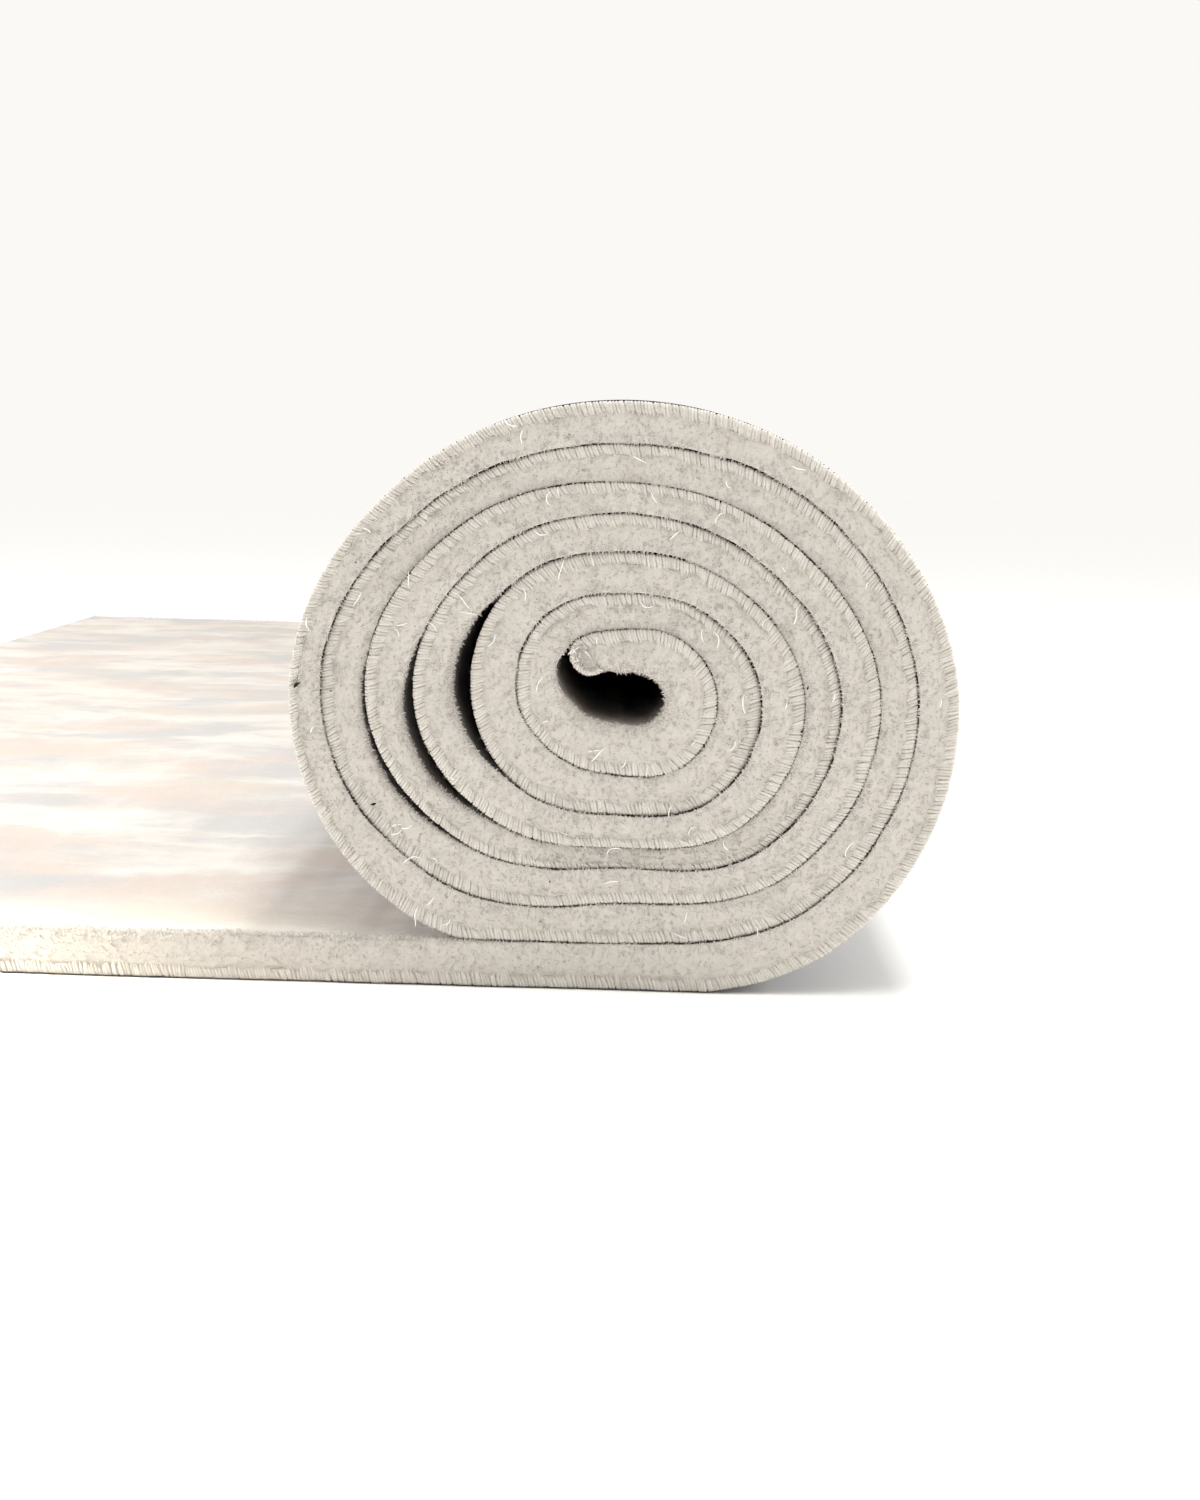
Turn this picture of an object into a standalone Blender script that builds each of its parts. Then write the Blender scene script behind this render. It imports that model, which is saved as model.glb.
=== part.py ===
"""A hand-tufted carpet, rolled up pile inwards, with its last stretch lying flat on the floor.

Run with: blender --background --python part.py

Frame: metres, +Z up. The roll's axis lies along Y and the flat end runs out towards -X.
The origin is at the middle of the whole object's underside.
The carpet is described by stations along its length. A station is one cut across it: the point
on its back, the way across its thickness, and how thick the pile leaves it there. Each piece is
a small outline across the carpet's width, carried from station to station.
"""

import math
from dataclasses import dataclass

import bmesh
import bpy
from mathutils import Vector

MM = 0.001

# Driving sizes of the carpet as cut
CARPET_WIDTH = 2000 * MM
CARPET_LENGTH = 3000 * MM
FREE_THICKNESS = 14.7 * MM
BACKING_THICKNESS = 1.2 * MM
EDGE_YARN_WIDTH = 6.4 * MM
EDGE_YARN_HEIGHT = 5.2 * MM
EDGE_YARN_SHARE = 0.40  # most of the thickness that the edge yarn takes where the pile is pressed
EDGE_YARN_ROUND = 1.6 * MM
EDGE_YARN_ROUND_SHARE = 0.4  # most of the edge yarn's height that each rounded corner takes
EDGE_YARN_LIFT = 0.3 * MM  # the carpet's weight is on the backing cloth
END_YARN_SIDES = 8
PILE_SHOULDER = 3.0 * MM
PILE_SHOULDER_SHARE = 0.5  # most of the cut side's height that the shoulder takes
PILE_INSET = 0.4 * MM  # the pile's cut side stands this far behind the edge yarn
PIECE_GAP = 0.35 * MM

# Driving sizes of the roll
ROLL_CENTRE_HEIGHT = 96.1 * MM  # the winding centre above the floor
TURN_GAP = 0.5 * MM
SECTIONS_A_TURN = 24
FIRST_SECTION_ANGLE = 135.0  # degrees, anticlockwise from +X; the carpet winds clockwise from there
INNER_END_ANGLE = 8.0  # degrees wound at the inner end's first section
END_ANGLE = 270.0  # the last turn meets the floor straight under the centre
FLAT_SECTIONS = 4
FULL_TURN = 360.0
HALF_TURN = 180.0
UPWARDS = Vector((0.0, 0.0, 1.0))
TOWARDS_FLAT_END = Vector((-1.0, 0.0, 0.0))

# Where the back of each turn runs: its distance from the winding centre in millimetres, in eight
# directions seen from the near end, in the order in which the carpet winds.
DIRECTIONS = ("up_left", "up", "up_right", "right", "down_right", "down", "down_left", "left")
BACK_OF_TURN = (
    # up_left  up   up_right right  down_right down  down_left left
    (24.5, 22.6, 27.5, 31.4, 30.1, 25.2, 28.1, 34.5),
    (36.7, 34.7, 39.4, 45.9, 44.9, 38.3, 44.3, 49.5),
    (51.6, 48.1, 52.4, 60.0, 57.6, 49.0, 58.1, 68.5),
    (64.4, 60.5, 63.6, 72.0, 68.1, 56.0, 70.2, 84.2),
    (77.2, 70.5, 75.0, 84.8, 79.8, 67.5, 85.7, 99.0),
    (89.0, 83.0, 89.3, 97.2, 93.2, 81.0, 101.2, 109.2),
    (101.1, 97.1, 101.8, 110.8, 108.9, 96.1),
)
KNOT_ANGLE = FULL_TURN / len(DIRECTIONS)
WOUND_ANGLE = FULL_TURN * (len(BACK_OF_TURN) - 1) + (FIRST_SECTION_ANGLE - END_ANGLE) % FULL_TURN
# The face of the first turn round the hollow, in the same directions
FACE_OF_HOLLOW = (11.1, 8.7, 11.1, 14.5, 12.2, 9.3, 11.1, 17.3)
# Between these angles the first turn's face leaves the hollow to pass over the carpet's inner end
CLIMB_UNDER_END = (302.0, 348.0)
END_CLEARANCE = 0.5 * MM
# Extra space where the turns stand apart on the left, in millimetres, by the inner turn's number
LOOSE_TURNS = {
    # inner turn: (angle of the widest point, space there, half the angle that it spans)
    2: (178.0, 5.4, 50.0),
    3: (196.0, 4.1, 40.0),
    4: (200.0, 2.1, 36.0),
}

# Plain colours (linear red, green and blue) and roughnesses
WOOL_LOOK = ((0.62, 0.56, 0.49), 0.95)
YARN_LOOK = ((0.72, 0.68, 0.62), 0.85)
CLOTH_LOOK = ((0.045, 0.05, 0.065), 0.9)


@dataclass(frozen=True)
class Station:
    """One cut across the carpet's length."""

    back: Vector  # on the underside, in the XZ plane
    across: Vector  # from the underside towards the pile
    thickness: float

    def edge_yarn_height(self):
        """How far up from the back the edge yarn reaches."""
        return min(EDGE_YARN_HEIGHT, EDGE_YARN_SHARE * self.thickness)

    def place(self, y, height):
        """The point at this place across the width and this height from the back."""
        point = self.back + self.across * height
        return Vector((point.x, y, point.z))


def knot(number):
    """The back's distance at the knot of this number, counted along the winding."""
    number = max(0, min(number, sum(len(row) for row in BACK_OF_TURN) - 1))
    turn, place = divmod(number, len(DIRECTIONS))
    return BACK_OF_TURN[turn][place] * MM


def through_knots(values, share):
    """The value at this share between the middle two of four knots, on a smooth curve."""
    a, b, c, d = values
    return 0.5 * (
        2 * b
        + (c - a) * share
        + (2 * a - 5 * b + 4 * c - d) * share**2
        + (3 * b - a - 3 * c + d) * share**3
    )


def back_distance(angle_wound):
    """How far the carpet's back is from the winding centre.

    The outermost turn lies on the floor, and the turns inside it on the flat end's pile.
    """
    number, share = divmod(angle_wound / KNOT_ANGLE, 1)
    distance = through_knots([knot(int(number) + k) for k in (-1, 0, 1, 2)], share)
    down = -math.sin(math.radians(FIRST_SECTION_ANGLE - angle_wound))
    if down <= 0:
        return distance
    outermost = angle_wound > WOUND_ANGLE - HALF_TURN
    room = ROLL_CENTRE_HEIGHT - (0.0 if outermost else FREE_THICKNESS + TURN_GAP)
    return min(distance, room / down)


def hollow_distance(angle_wound):
    """How far the first turn's pile is from the winding centre."""
    number, share = divmod(angle_wound / KNOT_ANGLE, 1)
    row = FACE_OF_HOLLOW
    knots = [row[max(0, min(int(number) + k, len(row) - 1))] * MM for k in (-1, 0, 1, 2)]
    return through_knots(knots, share)


def space_outside(angle_wound):
    """The space between this turn's back and the pile of the next."""
    turn = int(angle_wound // FULL_TURN) + 1
    heading = (FIRST_SECTION_ANGLE - angle_wound) % FULL_TURN
    if turn not in LOOSE_TURNS:
        return TURN_GAP
    widest, most, half_span = LOOSE_TURNS[turn]
    away = min(abs(heading - widest) / half_span, 1.0)
    return TURN_GAP + most * MM * (0.5 + 0.5 * math.cos(math.pi * away))


def face_distance(angle_wound):
    """How far the carpet's pile face is from the winding centre."""
    if angle_wound >= FULL_TURN:
        inside = angle_wound - FULL_TURN
        return back_distance(inside) + space_outside(inside)
    under_end = back_distance(INNER_END_ANGLE) + END_CLEARANCE
    start, stop = CLIMB_UNDER_END
    share = min(max((angle_wound - start) / (stop - start), 0.0), 1.0)
    share = share * share * (3 - 2 * share)
    return hollow_distance(angle_wound) * (1 - share) + under_end * share


def rolled_stations():
    """The stations from the end inside the roll to the point under its centre."""
    step = FULL_TURN / SECTIONS_A_TURN
    centre = Vector((0.0, 0.0, ROLL_CENTRE_HEIGHT))
    stations = []
    for number in range(round(WOUND_ANGLE / step) + 1):
        angle_wound = max(number * step, INNER_END_ANGLE)
        heading = math.radians(FIRST_SECTION_ANGLE - angle_wound)
        out = Vector((math.cos(heading), 0.0, math.sin(heading)))
        back = back_distance(angle_wound)
        stations.append(Station(centre + out * back, -out, back - face_distance(angle_wound)))
    return stations


def wound_length(stations):
    """The carpet's length along the middle of its thickness."""
    middles = [s.back + s.across * (s.thickness / 2) for s in stations]
    return sum((b - a).length for a, b in zip(middles, middles[1:]))


def flat_stations(last, length):
    """The stations of the flat end, which runs on towards -X from the last rolled one."""
    shares = [n / FLAT_SECTIONS for n in range(1, FLAT_SECTIONS + 1)]
    return [
        Station(last.back + TOWARDS_FLAT_END * (length * share), UPWARDS, FREE_THICKNESS)
        for share in shares
    ]


def material(name, look):
    """A plain finish: the looks are made elsewhere."""
    colour, roughness = look
    made = bpy.data.materials.new(name)
    made.use_nodes = True
    shader = made.node_tree.nodes["Principled BSDF"]
    shader.inputs["Base Color"].default_value = (*colour, 1.0)
    shader.inputs["Roughness"].default_value = roughness
    shader.inputs["Metallic"].default_value = 0.0
    return made


def loft(name, rings, finish, collection, origin):
    """One closed solid through rings of points that match one to one, with flat ends."""
    mesh = bmesh.new()
    corners = [[mesh.verts.new(point - origin) for point in ring] for ring in rings]
    for ring, after in zip(corners, corners[1:]):
        for i, vertex in enumerate(ring):
            j = (i + 1) % len(ring)
            mesh.faces.new((vertex, ring[j], after[j], after[i]))
    mesh.faces.new(corners[0][::-1])
    mesh.faces.new(corners[-1])
    bmesh.ops.recalc_face_normals(mesh, faces=mesh.faces[:])
    data = bpy.data.meshes.new(name)
    mesh.to_mesh(data)
    mesh.free()
    data.materials.append(finish)
    collection.objects.link(bpy.data.objects.new(name, data))


def pile_outline(station):
    """Pile and foundation across the width: wide above, and narrower where the edge yarn is."""
    half, top = CARPET_WIDTH / 2, station.thickness
    stem = half - EDGE_YARN_WIDTH - PIECE_GAP
    over = half - PILE_INSET
    yarn_top = station.edge_yarn_height() + PIECE_GAP
    low = BACKING_THICKNESS + PIECE_GAP
    shoulder = min(PILE_SHOULDER, PILE_SHOULDER_SHARE * (top - yarn_top))
    right = [
        (stem, low),
        (stem, yarn_top),
        (over, yarn_top),
        (over, top - shoulder),
        (over - shoulder, top),
    ]
    return right + [(-y, height) for y, height in reversed(right)]


def backing_outline(station):
    """The woven cloth glued over the whole back, inside the edge yarn."""
    half = CARPET_WIDTH / 2 - EDGE_YARN_WIDTH - PIECE_GAP
    return [
        (half, 0.0),
        (half, BACKING_THICKNESS),
        (-half, BACKING_THICKNESS),
        (-half, 0.0),
    ]


def edge_yarn_outline(side):
    """The whipped yarn along one long edge; side is -1 at the near end of the roll, 1 at the far."""

    def outline(station):
        outer = side * CARPET_WIDTH / 2
        inner = outer - side * EDGE_YARN_WIDTH
        high = station.edge_yarn_height()
        rounded = min(EDGE_YARN_ROUND, EDGE_YARN_ROUND_SHARE * high)
        return [
            (inner, EDGE_YARN_LIFT),
            (outer - side * rounded, EDGE_YARN_LIFT),
            (outer, EDGE_YARN_LIFT + rounded),
            (outer, high - rounded),
            (outer - side * rounded, high),
            (inner, high),
        ]

    return outline


def rings_of(outline, stations):
    """The outline at every station, as points."""
    return [[s.place(y, height) for y, height in outline(s)] for s in stations]


def end_yarn_rings(station, outwards):
    """The yarn whipped over a cut end: a half-round bar as thick as the carpet, all across it."""
    half, radius = CARPET_WIDTH / 2, (station.thickness - EDGE_YARN_LIFT) / 2
    middle = EDGE_YARN_LIFT + radius
    turns = [math.pi * (k / END_YARN_SIDES - 0.5) for k in range(END_YARN_SIDES + 1)]
    return [
        [
            station.place(y, middle + radius * math.sin(turn))
            + outwards * (PIECE_GAP + EDGE_YARN_WIDTH * math.cos(turn))
            for turn in turns
        ]
        for y in (-half, half)
    ]


def clear_scene():
    """Remove whatever the scene starts with."""
    for thing in list(bpy.data.objects):
        bpy.data.objects.remove(thing)


def main():
    clear_scene()
    collection = bpy.data.collections.new("rolled_carpet")
    bpy.context.scene.collection.children.link(collection)

    rolled = rolled_stations()
    flat_length = CARPET_LENGTH - 2 * (EDGE_YARN_WIDTH + PIECE_GAP) - wound_length(rolled)
    stations = rolled + flat_stations(rolled[-1], flat_length)

    xs = [s.back.x for s in stations]
    tip = EDGE_YARN_WIDTH + PIECE_GAP
    origin = Vector(((min(xs) - tip + max(xs)) / 2, 0.0, 0.0))

    wool = material("cut_pile_wool", WOOL_LOOK)
    yarn = material("whipped_edge_yarn", YARN_LOOK)
    cloth = material("backing_cloth", CLOTH_LOOK)

    loft("pile_field", rings_of(pile_outline, stations), wool, collection, origin)
    loft("backing_cloth", rings_of(backing_outline, stations), cloth, collection, origin)
    for name, side in (("edge_yarn_near", -1), ("edge_yarn_far", 1)):
        loft(name, rings_of(edge_yarn_outline(side), stations), yarn, collection, origin)

    first, last = stations[0], stations[-1]
    out_of_first = Vector((0.0, 1.0, 0.0)).cross(first.across)
    for name, station, outwards in (
        ("end_yarn_inner", first, out_of_first),
        ("end_yarn_outer", last, TOWARDS_FLAT_END),
    ):
        loft(name, end_yarn_rings(station, outwards), yarn, collection, origin)


main()
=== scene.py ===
"""The looks of a hand-tufted carpet that is rolled up pile inwards, with one end lying flat.

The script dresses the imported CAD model. The carpet is described twice over: along its length by
the winding, which is worked out from how far the back of each turn is from the winding centre,
and across its width by small outlines. Everything is in metres, with +Z up, the roll's axis along
Y and the flat end towards -X.
"""

import logging
import math
from dataclasses import dataclass, field
from enum import Enum
from typing import Sequence

import bpy
import numpy as np
from mathutils import Matrix, Vector


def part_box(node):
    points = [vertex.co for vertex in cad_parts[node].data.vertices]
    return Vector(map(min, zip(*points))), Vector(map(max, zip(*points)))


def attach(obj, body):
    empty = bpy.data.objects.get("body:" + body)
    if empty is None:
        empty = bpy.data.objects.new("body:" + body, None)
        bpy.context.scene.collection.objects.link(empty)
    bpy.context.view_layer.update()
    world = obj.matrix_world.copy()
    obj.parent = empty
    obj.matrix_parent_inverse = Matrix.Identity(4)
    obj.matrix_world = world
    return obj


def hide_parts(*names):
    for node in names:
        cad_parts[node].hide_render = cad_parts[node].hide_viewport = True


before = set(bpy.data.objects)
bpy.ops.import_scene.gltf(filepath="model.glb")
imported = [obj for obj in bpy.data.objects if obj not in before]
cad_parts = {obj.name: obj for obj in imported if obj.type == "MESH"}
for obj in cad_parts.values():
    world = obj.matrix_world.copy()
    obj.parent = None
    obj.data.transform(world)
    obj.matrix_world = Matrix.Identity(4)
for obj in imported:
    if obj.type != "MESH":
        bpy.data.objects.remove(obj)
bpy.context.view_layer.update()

LOG = logging.getLogger("carpet")
MM = 0.001
ROOT = "root"
CARPET_MAP = "carpet"
SHADE = "shade"


class Edge(Enum):
    """The two long edges of the carpet: the value is the side of the roll's axis that it is on."""

    NEAR = -1
    FAR = 1


class Slot(Enum):
    """Material slot names."""

    PILE = "cut_pile_wool"
    YARN = "whipped_edge_yarn"
    CLOTH = "backing_cloth"


# ---------------------------------------------------------------------------------------------
# Small helpers
# ---------------------------------------------------------------------------------------------


def linear(hex_colour: str, alpha: float = 1.0) -> tuple[float, float, float, float]:
    """Turn an sRGB hex colour into the linear values that shaders take.

    Args:
        hex_colour: Six hex digits, with or without a leading #.
        alpha: The fourth value.

    Returns:
        Linear red, green and blue, and alpha.
    """
    digits = hex_colour.lstrip("#")
    parts = [int(digits[i : i + 2], 16) / 255 for i in (0, 2, 4)]
    red, green, blue = (c / 12.92 if c <= 0.04045 else ((c + 0.055) / 1.055) ** 2.4 for c in parts)
    return red, green, blue, alpha


def add_node(
    tree: bpy.types.NodeTree, kind: str, settings: dict | None = None, **links: object
) -> bpy.types.Node:
    """Add a node, set its properties and fill its inputs.

    Args:
        tree: The node tree.
        kind: The node's bl_idname.
        settings: Properties of the node itself, by name.
        **links: Inputs by name with _ for a space, or by _number. Each is a plain value or a socket.

    Returns:
        The new node.
    """
    node = tree.nodes.new(kind)
    for name, value in (settings or {}).items():
        setattr(node, name, value)
    for name, value in links.items():
        key = int(name[1:]) if name[0] == "_" else name.replace("_", " ")
        socket = node.inputs[key]
        if isinstance(value, bpy.types.NodeSocket):
            tree.links.new(value, socket)
        else:
            socket.default_value = value
    return node


def ease(share: np.ndarray | float) -> np.ndarray | float:
    """Ease shares from 0 to 1, flat at both ends."""
    return share * share * (3 - 2 * share)


def smooth(share: float) -> float:
    """Ease a share that may be under 0 or over 1."""
    return ease(min(max(share, 0.0), 1.0))


def through_knots(values: Sequence[float], share: float) -> float:
    """The value at this share between the middle two of four knots, on a smooth curve.

    Args:
        values: Four knots in order.
        share: 0 at the second knot and 1 at the third.

    Returns:
        The value there.
    """
    a, b, c, d = values
    return 0.5 * (
        2 * b
        + (c - a) * share
        + (2 * a - 5 * b + 4 * c - d) * share**2
        + (3 * b - a - 3 * c + d) * share**3
    )


def linked(name: str, mesh: bpy.types.Mesh) -> bpy.types.Object:
    """Put a mesh into the scene as an object at the origin.

    Args:
        name: The object's name.
        mesh: Its mesh.

    Returns:
        The object.
    """
    made = bpy.data.objects.new(name, mesh)
    bpy.context.scene.collection.objects.link(made)
    return made


def in_plane(rows: np.ndarray) -> np.ndarray:
    """Turn rows of X and Z into rows of X, Y and Z, with Y at 0."""
    return np.stack((rows[:, 0], np.zeros(len(rows)), rows[:, 1]), axis=1)


def evenly(size: np.ndarray) -> np.ndarray:
    """Turn one size for each strand into the same size along its X, Y and Z."""
    return np.stack((size, size, size), axis=1)


def closed_mesh(
    name: str, points: np.ndarray, faces: list[list[int]], flat: np.ndarray, rounded: bool = True
) -> bpy.types.Object:
    """Make a closed solid that faces outwards.

    Args:
        name: The object's name.
        points: One row for each point.
        faces: Point numbers of each face.
        flat: The point's place on the flat carpet, in metres, for the UV map.
        rounded: Whether its faces are shaded as one rounded surface.

    Returns:
        The object, linked to the scene.
    """
    mesh = bpy.data.meshes.new(name)
    mesh.from_pydata(points.tolist(), [], faces)
    numbers = np.empty(len(mesh.loops), np.int32)
    mesh.loops.foreach_get("vertex_index", numbers)
    layer = mesh.uv_layers.new(name=CARPET_MAP)
    layer.data.foreach_set("uv", flat[numbers].astype(np.float32).ravel())
    mesh.polygons.foreach_set("use_smooth", np.full(len(mesh.polygons), rounded))
    mesh.calc_loop_triangles()
    triangles = np.empty(len(mesh.loop_triangles) * 3, np.int32)
    mesh.loop_triangles.foreach_get("vertices", triangles)
    a, b, c = (points[triangles.reshape(-1, 3)[:, k]] for k in range(3))
    if np.einsum("ij,ij->i", a, np.cross(b, c)).sum() < 0:
        mesh.flip_normals()
    mesh.update()
    return linked(name, mesh)


class Ripple:
    """Smooth random values along one or two lengths, the same on every run."""

    def __init__(self, seed: int, cells: int = 4096) -> None:
        """Fill the table of random values.

        Args:
            seed: Fixes the values.
            cells: How many values there are before they repeat.
        """
        self.table = np.random.default_rng(seed).uniform(-1, 1, cells)

    def along(self, length: np.ndarray, step: float) -> np.ndarray:
        """Values along a length, which change over each step.

        Args:
            length: Where to read, in metres.
            step: The distance between two random values, in metres.

        Returns:
            Values from -1 to 1.
        """
        place = np.asarray(length, float) / step
        low = np.floor(place).astype(int)
        share = ease(place - low)
        count = len(self.table)
        return self.table[low % count] * (1 - share) + self.table[(low + 1) % count] * share

    def over(self, u: np.ndarray, v: np.ndarray, step_u: float, step_v: float) -> np.ndarray:
        """Values over a surface.

        Args:
            u: First coordinate, in metres.
            v: Second coordinate, in metres.
            step_u: The distance between random values along u.
            step_v: The distance between random values along v.

        Returns:
            Values from -1 to 1.
        """
        pu, pv = np.broadcast_arrays(np.asarray(u, float) / step_u, np.asarray(v, float) / step_v)
        iu, iv = np.floor(pu).astype(int), np.floor(pv).astype(int)
        su, sv = ease(pu - iu), ease(pv - iv)
        count = len(self.table)

        def corner(a: np.ndarray, b: np.ndarray) -> np.ndarray:
            """The random value of one cell corner."""
            return self.table[(a * 1297 + b * 3571 + (a * b) % 641) % count]

        low = corner(iu, iv) * (1 - su) + corner(iu + 1, iv) * su
        high = corner(iu, iv + 1) * (1 - su) + corner(iu + 1, iv + 1) * su
        return low * (1 - sv) + high * sv


# ---------------------------------------------------------------------------------------------
# The winding
# ---------------------------------------------------------------------------------------------


@dataclass
class Winding:
    """How the carpet runs along its length: the same driving sizes as the CAD's.

    Distances in the tables are in millimetres from the winding centre, in eight directions from
    up-left clockwise, as seen from the near end.
    """

    carpet_width: float = 2000 * MM
    carpet_length: float = 3000 * MM
    free_thickness: float = 14.7 * MM
    edge_yarn_width: float = 6.4 * MM
    piece_gap: float = 0.35 * MM
    centre_height: float = 96.1 * MM
    turn_gap: float = 0.5 * MM
    first_angle: float = 135.0
    inner_end_angle: float = 8.0
    end_angle: float = 270.0
    climb_under_end: tuple[float, float] = (302.0, 348.0)
    end_clearance: float = 0.5 * MM
    back_of_turn: tuple[tuple[float, ...], ...] = (
        # up_left  up   up_right right  down_right down  down_left left
        (24.5, 22.6, 27.5, 31.4, 30.1, 25.2, 28.1, 34.5),
        (36.7, 34.7, 39.4, 45.9, 44.9, 38.3, 44.3, 49.5),
        (51.6, 48.1, 52.4, 60.0, 57.6, 49.0, 58.1, 68.5),
        (64.4, 60.5, 63.6, 72.0, 68.1, 56.0, 70.2, 84.2),
        (77.2, 70.5, 75.0, 84.8, 79.8, 67.5, 85.7, 99.0),
        (89.0, 83.0, 89.3, 97.2, 93.2, 81.0, 101.2, 109.2),
        (101.1, 97.1, 101.8, 110.8, 108.9, 96.1),
    )
    face_of_hollow: tuple[float, ...] = (11.1, 8.7, 11.1, 14.5, 12.2, 9.3, 11.1, 17.3)
    # Inner turn: (direction of the widest space, space there in mm, half the angle it spans)
    loose_turns: dict[int, tuple[float, float, float]] = field(
        default_factory=lambda: {
            2: (178.0, 5.4, 50.0),
            3: (196.0, 4.1, 40.0),
            4: (200.0, 2.1, 36.0),
        }
    )
    open_face: float = 2.2 * MM
    free_from: float = 75 * MM
    degrees_a_step: float = 1.0
    flat_step: float = 1.5 * MM

    def __post_init__(self) -> None:
        """Work out the fine stations: back points, ways across and along, thickness, length."""
        self.knots = [d * MM for row in self.back_of_turn for d in row]
        whole_turns = 360.0 * (len(self.back_of_turn) - 1)
        self.wound_angle = whole_turns + (self.first_angle - self.end_angle) % 360.0
        steps = round((self.wound_angle - self.inner_end_angle) / self.degrees_a_step)
        self.angles = np.linspace(self.inner_end_angle, self.wound_angle, steps + 1)
        backs, acrosses, thicknesses, spaces = [], [], [], []
        for angle in self.angles:
            heading = math.radians(self.first_angle - angle)
            out = np.array((math.cos(heading), math.sin(heading)))
            distance = self.back_distance(angle)
            backs.append(np.array((0.0, self.centre_height)) + out * distance)
            acrosses.append(-out)
            thicknesses.append(distance - self.face_distance(angle))
            spaces.append(self.open_space(angle))
        low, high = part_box("backing_cloth")
        self.centre_x = high.x - max(point[0] for point in backs)
        flat = self.centre_x - low.x
        count = round(flat / self.flat_step)
        for n in range(1, count + 1):
            backs.append(np.array((-flat * n / count, 0.0)))
            acrosses.append(np.array((0.0, 1.0)))
            thicknesses.append(self.free_thickness)
            spaces.append(self.turn_gap + self.open_face * smooth(flat * n / count / self.free_from))
        self.space = np.array(spaces)
        self.back = np.array(backs)
        self.across = np.array(acrosses)
        self.thickness = np.array(thicknesses)
        self.back[:, 0] += self.centre_x
        steps = np.linalg.norm(np.diff(self.back, axis=0), axis=1)
        self.length = np.concatenate(([0.0], np.cumsum(steps)))
        along = np.gradient(self.back, self.length, axis=0)
        self.along = along / np.linalg.norm(along, axis=1)[:, None]
        # Square to the back, so that stitches and tufts stand straight even where it is oval
        self.square = np.stack((self.along[:, 1], -self.along[:, 0]), axis=1)

    def back_distance(self, angle: float) -> float:
        """How far the back is from the winding centre.

        Args:
            angle: Degrees wound since the inner end.

        Returns:
            The distance in metres, cut off at the floor or at the flat end's pile.
        """
        number, share = divmod(angle / 45.0, 1)
        last = len(self.knots) - 1
        around = [self.knots[min(max(int(number) + k, 0), last)] for k in (-1, 0, 1, 2)]
        distance = through_knots(around, share)
        down = -math.sin(math.radians(self.first_angle - angle))
        if down <= 0:
            return distance
        outermost = angle > self.wound_angle - 180.0
        room = self.centre_height - (0.0 if outermost else self.free_thickness + self.turn_gap)
        return min(distance, room / down)

    def space_outside(self, angle: float) -> float:
        """Work out the space between this turn's back and the pile of the next.

        Args:
            angle: Degrees wound since the inner end.

        Returns:
            The space in metres.
        """
        turn = int(angle // 360.0) + 1
        if turn not in self.loose_turns:
            return self.turn_gap
        widest, most, half_span = self.loose_turns[turn]
        away = min(abs((self.first_angle - angle) % 360.0 - widest) / half_span, 1.0)
        return self.turn_gap + most * MM * (0.5 + 0.5 * math.cos(math.pi * away))

    def open_space(self, angle: float) -> float:
        """Work out the space in front of the pile's face, as far as it lets the pile spread.

        Args:
            angle: Degrees wound since the inner end.

        Returns:
            The space in metres.
        """
        if angle >= 360.0:
            return self.space_outside(angle - 360.0)
        start, stop = self.climb_under_end
        return self.turn_gap + self.open_face * (1 - smooth((angle - start) / (stop - start)))

    def face_distance(self, angle: float) -> float:
        """How far the pile's face is from the winding centre.

        Args:
            angle: Degrees wound since the inner end.

        Returns:
            The distance in metres.
        """
        if angle >= 360.0:
            return self.back_distance(angle - 360.0) + self.space_outside(angle - 360.0)
        number, share = divmod(angle / 45.0, 1)
        row = self.face_of_hollow
        around = [row[min(max(int(number) + k, 0), len(row) - 1)] * MM for k in (-1, 0, 1, 2)]
        start, stop = self.climb_under_end
        share_over = smooth((angle - start) / (stop - start))
        under_end = self.back_distance(self.inner_end_angle) + self.end_clearance
        return through_knots(around, share) * (1 - share_over) + under_end * share_over

    def at(self, length: np.ndarray) -> dict[str, np.ndarray]:
        """Read the winding at these lengths along the back.

        Args:
            length: Metres from the inner end, along the back.

        Returns:
            Arrays named back, across, square, along (two columns each), thickness and space.
        """
        found = {}
        for name in ("back", "across", "square", "along"):
            rows = getattr(self, name)
            read = np.stack([np.interp(length, self.length, rows[:, k]) for k in (0, 1)], axis=1)
            if name != "back":
                read /= np.linalg.norm(read, axis=1)[:, None]
            found[name] = read
        found["thickness"] = np.interp(length, self.length, self.thickness)
        found["space"] = np.interp(length, self.length, self.space)
        return found

    def end_section(self, inner: bool) -> tuple[np.ndarray, np.ndarray, np.ndarray, float]:
        """Where the carpet's cut end is.

        Args:
            inner: Whether it is the end inside the roll.

        Returns:
            The end's point on the back, its way up, its way outwards (in X and Z) and its thickness.
        """
        place = 0 if inner else -1
        back, up = self.back[place], self.across[place]
        outwards = -self.along[place] if inner else self.along[place]
        outwards = outwards - up * float(outwards @ up)
        return back, up, outwards / np.linalg.norm(outwards), float(self.thickness[place])

    @property
    def total(self) -> float:
        """The length of the back from end to end, without the end yarns."""
        return float(self.length[-1])


# ---------------------------------------------------------------------------------------------
# The carpet as a surface to place points on
# ---------------------------------------------------------------------------------------------


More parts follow.
